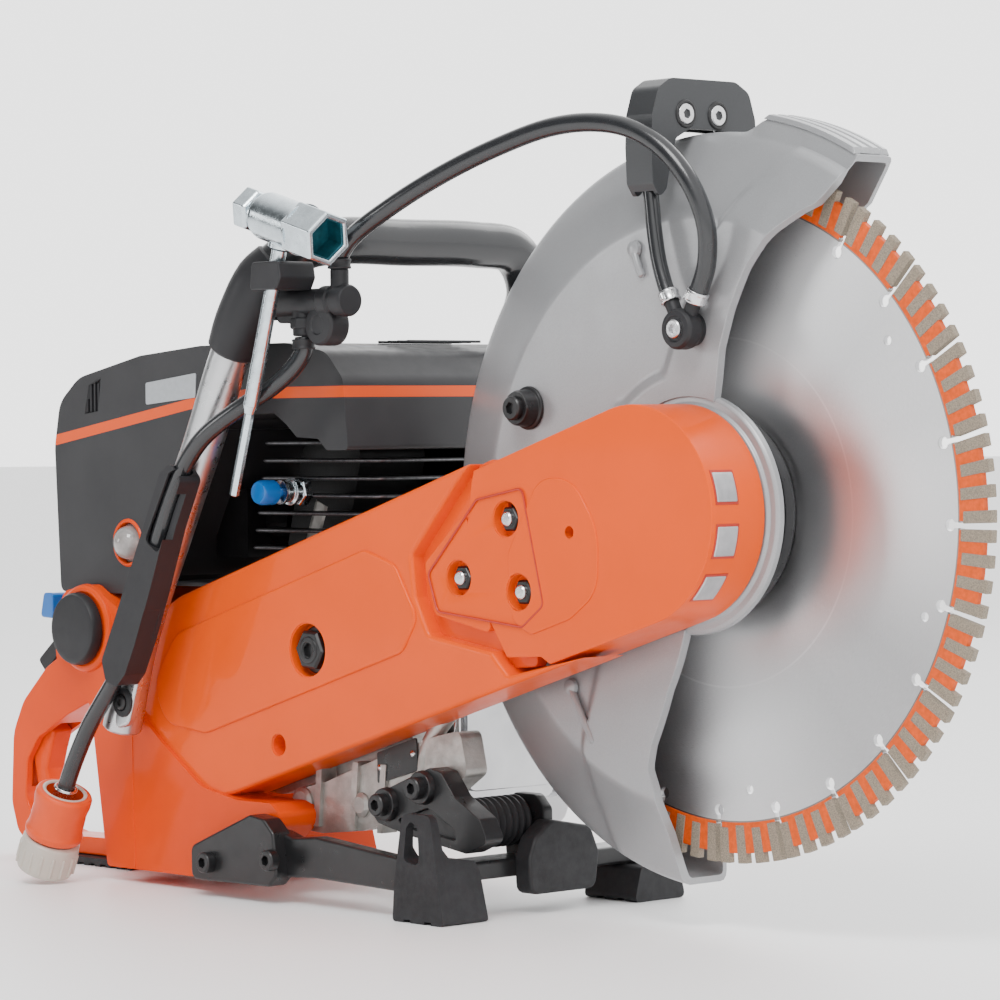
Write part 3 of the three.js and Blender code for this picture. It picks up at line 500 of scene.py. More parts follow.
def soften(obj, width, segments=3, angle=28, smooth=38):
    """Rounds the edges, then shades the big faces flat and the rounds smooth."""
    if width:
        mod = obj.modifiers.new("bevel", "BEVEL")
        mod.width, mod.segments = width / 1000, segments
        mod.limit_method, mod.angle_limit = "ANGLE", math.radians(angle)
        mod.use_clamp_overlap = True
        bake(obj)
    obj.data.shade_smooth()
    obj.data.set_sharp_from_angle(angle=math.radians(smooth))
    mod = obj.modifiers.new("normals", "WEIGHTED_NORMAL")
    mod.keep_sharp, mod.weight = True, 60
    return bake(obj)


def dress(obj, body, material, *nodes, slot=None):
    obj.data.materials.clear()
    obj.data.materials.append(MAT[material])
    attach(obj, body)
    if nodes:
        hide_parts(*nodes)
        slot = slot or NODE_SLOT[nodes[0]]
    return obj


def add(obj, rounding, body, material, *nodes, slot=None):
    """Rounds the edges by a width, or by the values that soften takes, and dresses the piece."""
    soften(obj, *(rounding if isinstance(rounding, tuple) else (rounding, 2)))
    return dress(obj, body, material, *nodes, slot=slot)


NODE_SLOT = {p["node"]: p["material_slot"] for p in frame["record"]["subparts"]}
SAW = "saw_body"

# ------------------------------------------------------------------ hoses
WATER_ROUTE = [
    (-222, -97, 384.5), (-222, -97, 391.5), (-211, -96.5, 403), (-180, -92.5, 420),
    (-141, -84.5, 438), (-104, -76, 451.5), (-70, -68, 460.5), (-43, -62, 462), (-19, -57, 458),
    (1, -53, 448), (17, -50, 433), (27, -47, 416), (30, -43, 398), (26, -39.5, 379),
    (20, -38, 368), (16.3, -38, 361.4),
]
CROSS_ROUTE = [
    (-4.3, -38, 361.4), (-8, -38, 369), (-13, -37.6, 382), (-16.5, -37, 396), (-20, -35.6, 412),
    (-23.5, -33.5, 430), (-23.5, -28, 452), (-23.5, -12, 464), (-23.5, 4, 466), (-23.5, 21, 463.5),
    (-23.5, 31.5, 450), (-23.5, 33.5, 430), (-20, 35.6, 412), (-16.5, 37, 396), (-13, 37.6, 382),
    (-8, 38, 369), (-4.3, 38, 361.4),
]
SUPPLY_ROUTE = [
    (-256, -97, 345.5), (-256, -97, 337), (-262, -100, 327), (-277, -105.5, 315),
    (-300, -113, 302), (-328, -118, 285), (-352, -118, 261), (-370, -118, 230),
    (-385, -118, 195), (-398, -118, 167), (-409, -118, 148), (-421, -118, 132),
    (-434, -118, 118), (-447, -118, 103.5), (-459, -118, 86.5), (-467, -118, 73.5),
    (-473.1, -118, 62.1),
]
HOSE_R = 5.5
CROSS_R = 4.5
COUPLING_TOP = Vector((-474, -118, 60))
COUPLING_DIR = Vector((-0.425, 0, -0.905)).normalized()


def make_hose(name, route, radius, node):
    obj, line = sweep(name, route, radius, 24, 6, 0.5)
    soften(obj, 0)
    obj.data.materials.append(MAT["hose_rubber"])
    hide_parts(node)
    return obj, line


def make_hoses():
    water, line = make_hose("water_hose_piece", WATER_ROUTE, HOSE_R, "water_hose")
    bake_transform(water)
    cross, line = make_hose("crossover_hose_piece", CROSS_ROUTE, CROSS_R, "crossover_hose")
    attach(cross, "guard")
    supply, line = make_hose("supply_hose_piece", SUPPLY_ROUTE, HOSE_R, "supply_hose")
    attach(supply, SAW)
    nut, ring = make_coupling()


def make_coupling():
    grips = [bar("grip", COUPLING_TOP + COUPLING_DIR * 40 + w, COUPLING_TOP + COUPLING_DIR * 54 + w, 1.3, 0.6, 12)
        for w in around(COUPLING_DIR, 18.4, 16)]
    nut = lathe("coupling_nut", COUPLING_TOP, COUPLING_DIR, [(0, 9), (6, 7.4), (9, 8), (11.5, 11), (11.5, 33.6),
        (16.6, 33.6), (18.5, 35.2), (18.9, 40), (18.6, 53), (17.6, 56.2), (15.5, 57), (12, 57), (12, 46), (0, 46)])
    nut = soften(merge("coupling_nut", nut, *grips), 0.5, 2)
    dress(nut, SAW, "cream_plastic", "coupling_body")
    crimp = lathe("coupling_crimp", COUPLING_TOP, COUPLING_DIR, [(5.7, -3.4), (7.2, -3.4), (7.8, -2), (7, 0),
        (7, 3.6), (7.8, 5), (7.8, 7.6), (5.7, 7.6)], 36)
    add(crimp, 0.25, SAW, "bright_stud")
    ring = lathe("coupling_ring", COUPLING_TOP, COUPLING_DIR, [(13.4, 0), (12.6, 1.4), (12.5, 33), (16.2, 33),
        (18.4, 31.6), (18.9, 28), (17.7, 25), (17.4, 12), (18.4, 7), (18.4, 2), (17.2, 0)])
    add(ring, 0.6, "sleeve", "connector_orange", "coupling_sleeve")
    liner = lathe("coupling_liner", COUPLING_TOP, COUPLING_DIR, [(12.4, 0.8), (13.6, 0.4), (14.6, 0.4),
        (14.6, -0.5), (13.2, -0.7), (12.2, 0.2)])
    add(liner, 0.2, "sleeve", "cream_plastic")
    return nut, ring


def around(direction, radius, count, start=0.0):
    axis = Vector(direction).normalized()
    u = axis.orthogonal().normalized()
    v = axis.cross(u)
    return [(u * math.cos(start + 2 * math.pi * k / count) + v * math.sin(start + 2 * math.pi * k / count)) * radius
        for k in range(count)]


make_hoses()


# ------------------------------------------------------------------ blade
def polar(radius, degrees):
    a = math.radians(degrees)
    return (radius * math.cos(a), HUB_Z + radius * math.sin(a))


SEGMENTS = 24
PITCH = 360.0 / SEGMENTS         # degrees
FIRST_SLOT = 58.3                # degrees
CORE_RADIUS = 178


def make_blade():
    outline = []
    for i in range(SEGMENTS):
        slot = FIRST_SLOT + i * PITCH
        centre = polar(170, slot)
        lip = math.degrees(1.4 / CORE_RADIUS)
        outline.append(polar(CORE_RADIUS, slot - lip))
        outline += arc(centre, 3.4, slot - 26, slot - 334, 12)
        outline.append(polar(CORE_RADIUS, slot + lip))
        outline += [polar(CORE_RADIUS, slot + PITCH * k / 4) for k in (1, 2, 3)]
    core = prism("blade_core", outline, -1.6, 1.6)
    holes = [bar("hole", (polar(r, d)[0], -4, polar(r, d)[1]), (polar(r, d)[0], 4, polar(r, d)[1]), 2.6, 0, 16)
        for r, d in ((158, 37), (161, -20), (158, -83), (158, 157))]
    core = cut(core, *holes)
    add(core, (0.35, 2, 40), "blade", "blade_steel", "cutting_blade")
    backs, teeth = [], []
    for i in range(SEGMENTS):
        a = FIRST_SLOT + i * PITCH
        inner = [polar(176.5, a + 0.75 + (PITCH - 1.5) * k / 6) for k in range(7)]
        outer = [polar(194, a + 0.75 + (PITCH - 1.5) * k / 6) for k in range(6, -1, -1)]
        backs.append(prism("back", inner + outer, -1.9, 1.9))
        for k in range(4):
            start = a + 0.55 + k * (PITCH - 1.1 - 2.0) / 3
            low = CORE_RADIUS if k % 2 else 179.5
            tooth = [polar(low, start - 0.2), polar(low, start + 1.9), polar(199.8, start + 2.1),
                polar(199.8, start + 0.1)]
            teeth.append(prism("tooth", tooth, -2.35, 2.35))
    add(merge("blade_segments", *backs), (0.3, 1), "blade", "segment_orange")
    add(merge("blade_teeth", *teeth), 0.45, "blade", "grit")


def make_flanges():
    inner = lathe("inner_flange_piece", (0, -22, HUB_Z), FAR, [(13, 0), (50, 0), (52, 2), (52, 9), (60, 9),
        (60, 16), (57.5, 17), (57.5, 20.1), (52, 20.1), (50, 18.5), (13, 18.5)], 96)
    add(inner, 0.7, "blade", "black_metal", "inner_flange")
    outer = lathe("outer_flange_piece", (0, 1.9, HUB_Z), FAR, [(13, 0.5), (46, 0.5), (48, 0), (52.5, 0), (52.5, 4),
        (50, 6), (31, 7.6), (28, 8.1), (13, 8.1)], 96)
    add(outer, 0.6, "blade", "black_metal", "outer_flange")
    washer = lathe("arbor_washer", (0, 10.3, HUB_Z), FAR, [(0, 0), (22, 0), (22, 2.6), (20.5, 3.7), (0, 3.7)])
    head = bar("arbor_head", (0, 13.5, HUB_Z), (0, 21, HUB_Z), 11, 1.2, 6)
    add(merge("arbor_bolt_piece", washer, head), 0.4, "blade", "black_metal", "arbor_bolt")


# ------------------------------------------------------------------ guard
UPPER_EDGE = [(60, 71.6), (63.2, 71.6), (95.3, 74.8), (118.7, 73.9), (143.3, 71.7), (168.6, 67.7), (185.2, 64.4),
    (194.6, 62.1), (208, 61.6), (236, 60.1)]
LOWER_EDGE = [(60, 268.1), (102.6, 259.9), (136.8, 256.5), (150.1, 256.5), (160.8, 259.3), (186.8, 262.0),
    (215.6, 263.1), (236, 263.4)]


def lookup(table, r):
    for (r0, a0), (r1, a1) in zip(table, table[1:]):
        if r <= r1:
            t = max(0.0, (r - r0) / (r1 - r0))
            return a0 + (a1 - a0) * t
    return table[-1][1]


def smooth_step(t):
    t = min(1.0, max(0.0, t))
    return t * t * (3 - 2 * t)


CREASES = [
    [(70, 206), (52, 188), (38, 180), (4, 132), (-19, 81), (-57, 61), (-75, 30)],
    [(-75, -60), (-75, -87), (-90, -135), (-80, -204)],
]


def beyond(line, x, z):
    """Signed distance from a polyline, positive on its right-hand side going down it."""
    best, sign = 1e9, 1
    for (x0, z0), (x1, z1) in zip(line, line[1:]):
        dx, dz = x1 - x0, z1 - z0
        t = min(1, max(0, ((x - x0) * dx + (z - z0) * dz) / (dx * dx + dz * dz)))
        px, pz = x0 + dx * t, z0 + dz * t
        d = math.hypot(x - px, z - pz)
        if d < best:
            best, sign = d, (1 if dx * (z - z0) - dz * (x - x0) > 0 else -1)
    return best * sign


def make_guard():
    near = [(66 + i * 3.4, -27.0) for i in range(30)] + [(167, -27.0)]
    outer = near + [(171, -25.6), (178, -22.7), (186, -19.4), (194, -16.2), (202, -13), (209, -10.2), (213, -8.4),
        (215.3, -6.8), (216, -4.5), (216, 2), (216, 9), (216, 16), (216, 20.5), (215.3, 23.5), (213, 25.4),
        (210, 26), (195, 26), (160, 26), (120, 26), (83, 26)]
    inner = [(r, -23.5) for r, _ in near[:-2]] + [(163.5, -23.5), (165.5, -23.5)] + [(169.7, -22), (176.5, -19.2),
        (184.5, -16), (192.5, -12.8), (200.5, -9.6), (207, -7), (210.3, -5.4), (211.6, -4), (212, -2.5), (212, 2),
        (212, 9), (212, 16), (212, 19), (211.5, 21.2), (210, 22.3), (207, 22.5), (195, 22.5), (160, 22.5),
        (120, 22.5), (83, 22.5)]
    steps = 168
    verts, faces = [], []
    rows = len(outer)
    for side, profile in (("outer", outer), ("inner", inner)):
        for i, (r, y) in enumerate(profile):
            # both skins share the mouth angle of the outer one, so that the lip is square to the wall
            a0, a1 = lookup(UPPER_EDGE, outer[i][0]), lookup(LOWER_EDGE, outer[i][0])
            for j in range(steps + 1):
                t = j / steps
                t = t + 0.12 * math.sin(2 * math.pi * t) * -0.5
                a = a0 + (a1 - a0) * t
                rr, yy = r, y
                swell = smooth_step((84 - a) / 5) * smooth_step((outer[i][0] - 206) / 6)
                if y > -6.5:
                    rr += 9 * swell
                x, z = rr * math.cos(math.radians(a)), rr * math.sin(math.radians(a))
                if side == "outer" and y < -8:
                    upper = beyond(CREASES[0], x, z)
                    lower = beyond(CREASES[1], x, z)
                    lift = smooth_step(upper / 2 + 0.5) if a < 160 else smooth_step(lower / 2 + 0.5)
                    yy -= 2.4 * lift
                verts.append(at(x, yy, HUB_Z + z))
    stride = steps + 1
    inner_at = rows * stride
    for i in range(rows - 1):
        for j in range(steps):
            a, b = i * stride + j, (i + 1) * stride + j
            faces.append([a, a + 1, b + 1, b])
            faces.append([inner_at + a, inner_at + b, inner_at + b + 1, inner_at + a + 1])
        for j in (0, steps):
            a, b = i * stride + j, (i + 1) * stride + j
            faces.append([a, b, inner_at + b, inner_at + a])
    for i in (0, rows - 1):
        for j in range(steps):
            a = i * stride + j
            faces.append([a, a + 1, inner_at + a + 1, inner_at + a])
    shell = new_object("guard_shell", verts, faces)
    add(shell, (1.1, 3, 42, 50), "guard", "guard_grey", "blade_guard")
    hub = lathe("guard_hub_ring", (0, -31, HUB_Z), FAR, [(44.6, 0), (60, 0), (62, 0.8), (63, 2.4), (66.5, 2.8),
        (68.5, 4.2), (69, 7.5), (44.6, 7.5)], 96)
    add(hub, 0.5, "guard", "guard_grey")
    make_guard_pad()


def make_guard_pad():
    """Raised grip pad on top of the mouth, with ridges along it."""
    section = [(-6, 224.6), (-5, 227.4), (-1, 227.9), (0, 226.8), (1.5, 226.8), (2.5, 227.9), (7, 228), (8, 226.9),
        (9.5, 226.9), (10.5, 228), (15, 228), (16, 226.9), (17.5, 226.9), (18.5, 227.8), (22.5, 227.4),
        (23.5, 224.6)]
    stations = 26
    verts, faces = [], []
    for s in range(stations + 1):
        a = 61.6 + 18.4 * s / stations
        drop = 2.2 if s in (0, stations) else 0.0
        for y, r in section:
            x, z = polar(r - drop * (r > 225), a)
            verts.append(at(x, y, z))
    count = len(section)
    for s in range(stations):
        for k in range(count):
            n = (k + 1) % count
            faces.append([s * count + k, s * count + n, (s + 1) * count + n, (s + 1) * count + k])
    faces.append(list(range(count)))
    faces.append(list(range(stations * count, (stations + 1) * count)))
    pad = new_object("guard_grip_pad", verts, faces)
    add(pad, 0.3, "guard", "guard_grey")


def socket_screw(name, origin, direction, radius, height, body):
    """Cap screw head with a hexagon socket and a rolled edge."""
    head = lathe(name, origin, direction, [(0, 0), (radius - 0.3, 0), (radius, 0.5), (radius, height - 0.9),
        (radius - 0.9, height), (0, height)], 40)
    axis = Vector(direction).normalized()
    top = Vector(origin) + axis * height
    socket = bar("socket", top + axis * 0.5, top - axis * height * 0.55, radius * 0.52, 0, 6)
    cut(head, socket)
    return add(head, 0.25, body, "black_metal")


def make_guard_handle():
    outline = fillet([(-43, 448), (-42, 466), (-37, 481), (-27, 487), (26, 487), (37, 481), (42, 466), (43, 446),
        (41, 430), (38.6, 430), (31, 449), (27, 458), (12, 458.6), (-12, 458.6), (-23, 453), (-27, 441), (-31, 424),
        (-36.5, 419), (-42, 427)], [2, 6, 8, 10, 10, 8, 6, 6, 1, 1, 4, 4, 2, 2, 4, 4, 4, 4, 4])
    bow = prism("guard_bow", outline, -34, -13, "x")
    hollow = prism("hollow", [(-39, 410), (-39, 466), (-22, 475), (22, 475), (39, 466), (39, 420)], -31, -16, "x")
    cut(bow, hollow)
    add(bow, (2.6, 4, 30), "guard", "bow_grey", "guard_handle")
    for y in (-15, 11):
        ring = lathe("bow_ring", (-14.2, y, 467), (1, 0, 0), [(6.2, 0), (8.2, 0), (8.2, 1.6), (7.6, 2.1),
            (6.6, 2.1), (6.2, 1.7)], 40)
        add(ring, 0.2, "guard", "black_metal")
        screw = lathe("bow_screw", (-14.0, y, 467), (1, 0, 0), [(0, 0), (6, 0), (6, 1.6), (5.4, 2.2), (0, 2.2)], 36)
        cut(screw, bar("socket", (-10, y, 467), (-13.4, y, 467), 2.9, 0, 6))
        add(screw, 0.2, "guard", "bright_stud")


NOZZLE_X, NOZZLE_Z = 6, 344


def make_nozzles():
    for side, node in ((-1, "water_nozzle_right"), (1, "water_nozzle_left")):
        face = -27.3 if side < 0 else 26.3
        y = side * 38
        body = lathe("nozzle_body", (NOZZLE_X, face, NOZZLE_Z), (0, side, 0), [(0, 0), (9, 0), (9.6, 2), (9.6, 5),
            (11.2, 7), (11.6, 9), (11.6, 15.5), (10.4, 17.6), (7.6, 18.2), (7, 17.4), (0, 17.4)])
        ways = (-1, 1) if side < 0 else (-1,)
        ports = [bar("port", (NOZZLE_X + w * 3, y, 348), (NOZZLE_X + w * 10, y, 361), 4.3, 0.5, 24) for w in ways]
        body = soften(merge("nozzle_piece_" + ("right" if side < 0 else "left"), body, *ports), 0.3, 2)
        dress(body, "guard", "dark_plastic", node)
        screw = lathe("nozzle_screw", (NOZZLE_X, face + side * 17.2, NOZZLE_Z), (0, side, 0), [(0, 0), (5.4, 0),
            (5.4, 1.8), (4.6, 2.6), (0, 2.6)], 36)
        cut(screw, bar("socket", (NOZZLE_X, face + side * 21, NOZZLE_Z), (NOZZLE_X, face + side * 18.2, NOZZLE_Z),
            2.7, 0, 6))
        add(screw, 0.25, "guard", "steel")
        for w in ways:
            r = CROSS_R if w < 0 else HOSE_R
            direction = Vector((w * 0.47, 0, 0.88)).normalized()
            start = Vector((NOZZLE_X + w * 9, y, 359.2))
            crimp = lathe("hose_crimp", start, direction, [(r + 0.1, 0), (r + 1.3, 0), (r + 1.6, 0.8), (r + 1.2, 2),
                (r + 1.2, 4.4), (r + 1.6, 5.8), (r + 1.2, 7), (r + 0.1, 7)], 40)
            ear = bar("ear", start + direction * 1.5 + Vector((0, side * (r + 1.6), 0)),
                start + direction * 5.5 + Vector((0, side * (r + 1.6), 0)), 1.6, 0.4, 12)
            add(merge("hose_crimp_piece", crimp, ear), 0.3, "guard", "bright_stud")


def make_guard_details():
    stop = lathe("guard_stop_boss", (-133, -27.5, 301), NEAR, [(0, 0), (13, 0), (12.6, 1.5), (11, 2.2), (10.5, 9),
        (9.5, 11), (0, 11)], 48)
    add(stop, 0.3, "guard", "black_metal")
    socket_screw("guard_stop_bolt", (-133, -38.2, 301), NEAR, 7.2, 4.5, "guard")
    for x0, z0, x1, z1 in ((-42, 391, -36, 375), (-98, 138, -80, 106)):
        along = Vector((x1 - x0, 0, z1 - z0)).normalized()
        clip = lathe("clip_post", (x0, -28, z0), NEAR, [(0, 0), (5, 0), (4.4, 2.2), (2.6, 3.1), (0, 3.1)], 24)
        tab, _ = sweep("clip_tab", [(x0, -28.8, z0), (x0 + along.x * 8, -29.4, z0 + along.z * 8), (x1, -28.4, z1)],
            2.2, 14, 6, 0.8)
        add(merge("guard_clip", clip, tab), 0, "guard", "guard_grey")


# ------------------------------------------------------------------ belt covers
TONGUE = [(-134, 265), (-139, 241), (-175, 210), (-166, 180), (-116, 170), (-99, 152)]
POCKET = [(-143, 257), (-182, 215), (-179, 190), (-167, 168), (-113, 160), (-99, 147)]
NUTS = [(-104, 237), (-145, 202), (-93, 195)]
DRAIN = (-50, 230, 3.6)          # x, z and radius
TENSIONER = on_arm(289, 0)


def round_hole(name, x, z, radius, y0, y1):
    return lathe(name, (x, y0, z), FAR, [(0, 0), (radius, 0), (radius, y1 - y0), (0, y1 - y0)], 36)


def make_front_cover():
    outline = arc(SPINDLE, 62, 17 - 90, 17 + 90, 40) + [on_arm(118, 62), on_arm(122, 56)]
    outline += fillet(TONGUE[1:-1], 5, 5) + [(-104, 157), on_arm(96, -56), on_arm(90, -62)]
    cover = prism("front_cover", outline, -74, -32)
    soften(cover, 6.5, 5, 30)
    nuts = [round_hole("hole", x, z, 11, -76, -62) for x, z in NUTS]
    drain = round_hole("hole", *DRAIN, -76, -64)
    cut(cover, *nuts, drain)
    add(cover, 0, SAW, "orange_paint", "belt_cover_front")
    crown_line = fillet([on_arm(66, 42), on_arm(40, 34), on_arm(28, 0), on_arm(40, -34), on_arm(66, -42),
        on_arm(100, -42), on_arm(112, -30), on_arm(104, 8)], [20, 30, 40, 30, 20, 8, 8, 8], 8)
    panel = prism("front_cover_panel", crown_line, -74.9, -73)
    soften(panel, 0.85, 3, 30)
    cut(panel, round_hole("hole", *DRAIN, -76, -64), round_hole("hole", -93, 195, 11, -76, -62),
        round_hole("hole", -104, 237, 11, -76, -62))
    add(panel, 0, SAW, "orange_paint")
    hexagon = fillet([(-89, 255), (-72, 188), (-90, 175), (-163, 182), (-171, 204), (-128, 248)], 5, 5)
    line, _ = sweep("tongue_outline", [(x, -74.7, z) for x, z in hexagon + hexagon[:1]], 0.7, 8, 1, 0.1)
    add(line, 0, SAW, "red_line")
    for x, z in NUTS:
        make_cover_nut(x, z)
    for middle in (15, -13, -40):
        make_insert(middle)
    floor = slab("cover_step", [(-120, 272), (-196, 246), (-202, 190), (-178, 158), (-112, 150), (-84, 152),
        (-90, 200), (-110, 250)], 4, -68, -60)
    add(floor, 0.8, SAW, "orange_paint")


def make_cover_nut(x, z):
    cup = lathe("nut_cup", (x, -73.4, z), FAR, [(11, 0), (10.3, 0), (10.2, 8), (9.2, 9.5), (0, 9.5), (0, 11.4),
        (11, 11.4)], 40)
    add(cup, 0, SAW, "orange_paint")
    base = lathe("nut_washer", (x, -63.8, z), NEAR, [(0, 0), (9.3, 0), (9.3, 1.2), (8.6, 1.8), (0, 1.8)], 40)
    body = bar("nut_body", (x, -65.4, z), (x, -71.6, z), 8.0, 1.3, 6, turn=0.3)
    add(merge("cover_nut", base, body), 0.35, SAW, "black_metal")
    stud = lathe("cover_stud", (x, -71.0, z), NEAR, [(0, 0), (4.2, 0), (4.2, 2.2), (3.2, 3.2), (0, 3.2)], 28)
    add(stud, 0.2, SAW, "bright_stud")


def curved_patch(name, middle, half, y0, y1, r0, r1):
    inner = [polar(r0, middle - half + 2 * half * k / 8) for k in range(9)]
    outer = [polar(r1, middle + half - 2 * half * k / 8) for k in range(9)]
    return prism(name, inner + outer, y0, y1)


def make_insert(middle):
    frame_piece = curved_patch("insert_frame", middle, 9.2, -70.6, -52.4, 60, 62.35)
    add(frame_piece, 0.35, SAW, "red_line")
    plate = curved_patch("cover_insert", middle, 7.8, -69.4, -53.6, 60, 63.0)
    add(plate, (0.8, 3), SAW, "insert_silver")


def make_rear_cover():
    tx, tz = TENSIONER
    top = on_arm(116, 66)
    outline = arc(CRANK, 66, 17 + 90, 17 + 270, 40) + fillet([on_arm(58, -66)] + [POCKET[k]
        for k in (5, 4, 3, 2, 1, 0)] + [top], [0, 3, 5, 6, 5, 4, 4, 0], 4)
    cover = prism("rear_cover", outline, -78.4, -42)
    soften(cover, 8.5, 6, 30)
    cut(cover, round_hole("hole", tx, tz, 17, -84, -66), round_hole("hole", -307, 96, 7, -84, -66))
    add(cover, 0, SAW, "orange_paint", "belt_cover_rear")
    inside = fillet([on_arm(412, 44), on_arm(220, 44), on_arm(196, 28), on_arm(186, -8), on_arm(206, -24),
        on_arm(402, -24), on_arm(440, -8), on_arm(444, 20)], [26, 14, 14, 12, 14, 22, 22, 22], 8)
    panel = prism("rear_cover_panel", inside, -80, -77)
    soften(panel, 1.7, 4, 30)
    cut(panel, round_hole("hole", tx, tz, 17, -84, -66))
    add(panel, 0, SAW, "orange_paint")
    cup = lathe("tensioner_cup", (tx, -79.4, tz), FAR, [(17, 0), (16.2, 0), (16, 8), (14.8, 9.2), (0, 9.2), (0, 12),
        (17, 12)], 48)
    add(cup, 0, SAW, "orange_paint")
    small = lathe("strap_cup", (-307, -77.6, 96), FAR, [(7, 0), (6.3, 0.4), (6, 9), (0, 9), (0, 11), (7, 11)], 36)
    add(small, 0, SAW, "orange_plastic", slot="orange_paint")
    washer = lathe("tensioner_washer", (tx, -71.2, tz), NEAR, [(0, 0), (14.6, 0), (14.6, 1), (13.8, 1.8), (0, 1.8)], 48)
    head = bar("tensioner_head", (tx, -72.6, tz), (tx, -79.4, tz), 13, 1.6, 6, turn=0.2)
    cut(head, bar("socket", (tx, -82, tz), (tx, -76.6, tz), 4.6, 0, 6))
    collar = lathe("tensioner_collar", (tx, -78.6, tz), NEAR, [(4.8, 0), (8.5, 0), (8.2, 1.2), (7.4, 1.6),
        (5.4, 1.6), (4.8, 1.1)], 40)
    add(merge("tensioner_piece", washer, head, collar), 0.3, "tensioner", "black_metal", "belt_tensioner")


# ------------------------------------------------------------------ top cover
def make_top_cover():
    outline = fillet([(-534, 185), (-539, 280), (-533, 309), (-512, 325), (-446, 338), (-384, 343), (-300, 343),
        (-262, 337), (-246, 320), (-242, 277), (-262, 277), (-270, 284), (-290, 285), (-300, 293), (-312, 300),
        (-392, 297), (-402, 262), (-438, 185)], [6, 30, 20, 30, 40, 40, 30, 18, 12, 3, 3, 3, 3, 3, 8, 10, 10, 6], 5)
    cover = prism("cover_shell", outline, -75, 105)
    cut(cover, prism("room", [(-520, 180), (-520, 195), (-450, 196), (-398, 290), (-306, 300), (-256, 300),
        (-256, 240), (-300, 180)], -60, 90))
    soften(cover, 13, 7, 34, 42)
    vent = prism("vent", [(-506, 301), (-501, 320), (-488, 325), (-491, 303)], -76, -71)
    seat = round_hole("seat", -461, 218, 15, -76, -62)
    cut(cover, vent, seat)
    add(cover, 0, SAW, "cover_plastic", "top_cover")
    slats = [box("slat", -505 + 4 * k, -503.4 + 4 * k, -74.2, -71.5, 302.5, 321) for k in range(4)]
    add(merge("cover_vent_slats", *slats), (0.3, 1), SAW, "dark_plastic")
    label = slab("cover_label_blank", [(-440, 306.5), (-389, 310.5), (-388, 326), (-440, 320.5)], 1.5, -75.5, -74.6)
    add(label, 0.2, SAW, "label_blank")
    ring = lathe("primer_ring", (-461, -74.2, 218), NEAR, [(12.8, -4), (15.4, -4), (15.8, 0.4), (14.8, 1.8),
        (13.4, 1.8), (12.8, 0.8)], 48)
    add(ring, 0.3, SAW, "orange_plastic")
    bulb = lathe("primer_dome", (-461, -71, 218), NEAR, [(0, 0), (12.3, 0), (12.3, 2), (11.2, 3), (10.6, 6),
        (9.2, 9), (6.4, 11.4), (3, 12.7), (0, 13)], 48)
    add(bulb, 0, "primer", "bulb_clear", "primer_bulb")
    # a dark wall and shelf put inside the cover where there is only shade, to close the light gap beneath it
    wall = slab("shade_wall", [(-402, 190.5), (-402, 292), (-258, 292), (-258, 190.5)], 4, 62, 66)
    shelf = box("shade_shelf", -448, -396, -58, 62, 190.2, 193.2)
    add(merge("cover_shade_wall", wall, shelf), 0.8, SAW, "dark_plastic")
    rib = [slab("rib", [(-300 + 9 * k, 343), (-300 + 9 * k, 344.6), (-297 + 9 * k, 344.6), (-297 + 9 * k, 343)],
        0.5, 0, 60) for k in range(4)]
    add(merge("cover_top_ribs", *rib), (0.3, 1), SAW, "dark_plastic")


# ------------------------------------------------------------------ tank and rear handle
def make_tank():
    upper = fillet([(-534, 168), (-520, 186), (-492, 191), (-464, 176), (-450, 146), (-450, 50), (-448, 9),
        (-478, 9), (-486, 60), (-494, 112), (-530, 138)], [10, 10, 12, 8, 4, 0, 4, 4, 0, 10, 10], 5)
    lower = fillet([(-470, 9), (-366, 9), (-330, 26), (-304, 46), (-303, 54), (-312, 60), (-345, 60), (-380, 66),
        (-420, 92), (-470, 130)], [3, 14, 14, 6, 5, 6, 30, 30, 30, 3], 6)
    tank = prism("tank_upper", upper, -82, 62)
    foot = prism("tank_lower", lower, -81.6, -50)
    base = slab("tank_base", [(-456, 9.4), (-376, 9.4), (-384, 36), (-402, 46), (-456, 50)], 4, -60, 61.6)
    tank = soften(unite(tank, foot, base), 6, 5, 30, 45)
    dress(tank, SAW, "orange_plastic", "fuel_tank")
    boss = lathe("plug_boss", (-498, -80, 162), NEAR, [(0, 0), (29, 0), (28, 4), (26, 5.4), (24, 5.4), (24, 4),
        (0, 4)], 56)
    add(boss, 0.4, SAW, "orange_plastic")
    plug = lathe("side_plug_piece", (-498, -86, 162), NEAR, [(0, 0), (23.2, 0), (23.6, 1.5), (23.4, 5), (22, 7.6),
        (19, 8.4), (0, 8.6)], 56)
    add(plug, (0.5, 3), SAW, "dark_plastic", "side_plug")
    filler = lathe("filler_boss", (-500, 60, 152), FAR, [(0, 0), (21, 0), (20, 7), (0, 7)], 48)
    add(filler, 0.6, SAW, "orange_plastic")
    cap = lathe("fuel_cap_piece", (-500, 68.3, 152), FAR, [(0, 0), (18.6, 0), (19, 1.5), (19, 10), (17.4, 11.7),
        (0, 11.7)], 48)
    wing = slab("wing", [(-516, 149), (-484, 149), (-484, 155), (-516, 155)], 2.8, 79, 88)
    teeth = [bar("knurl", Vector((-500, 69.5, 152)) + w, Vector((-500, 77, 152)) + w, 1.1, 0.3, 10)
        for w in around(FAR, 18.8, 24)]
    add(merge("fuel_cap_piece", cap, wing, *teeth), 0.6, "cap", "dark_plastic", "fuel_cap")


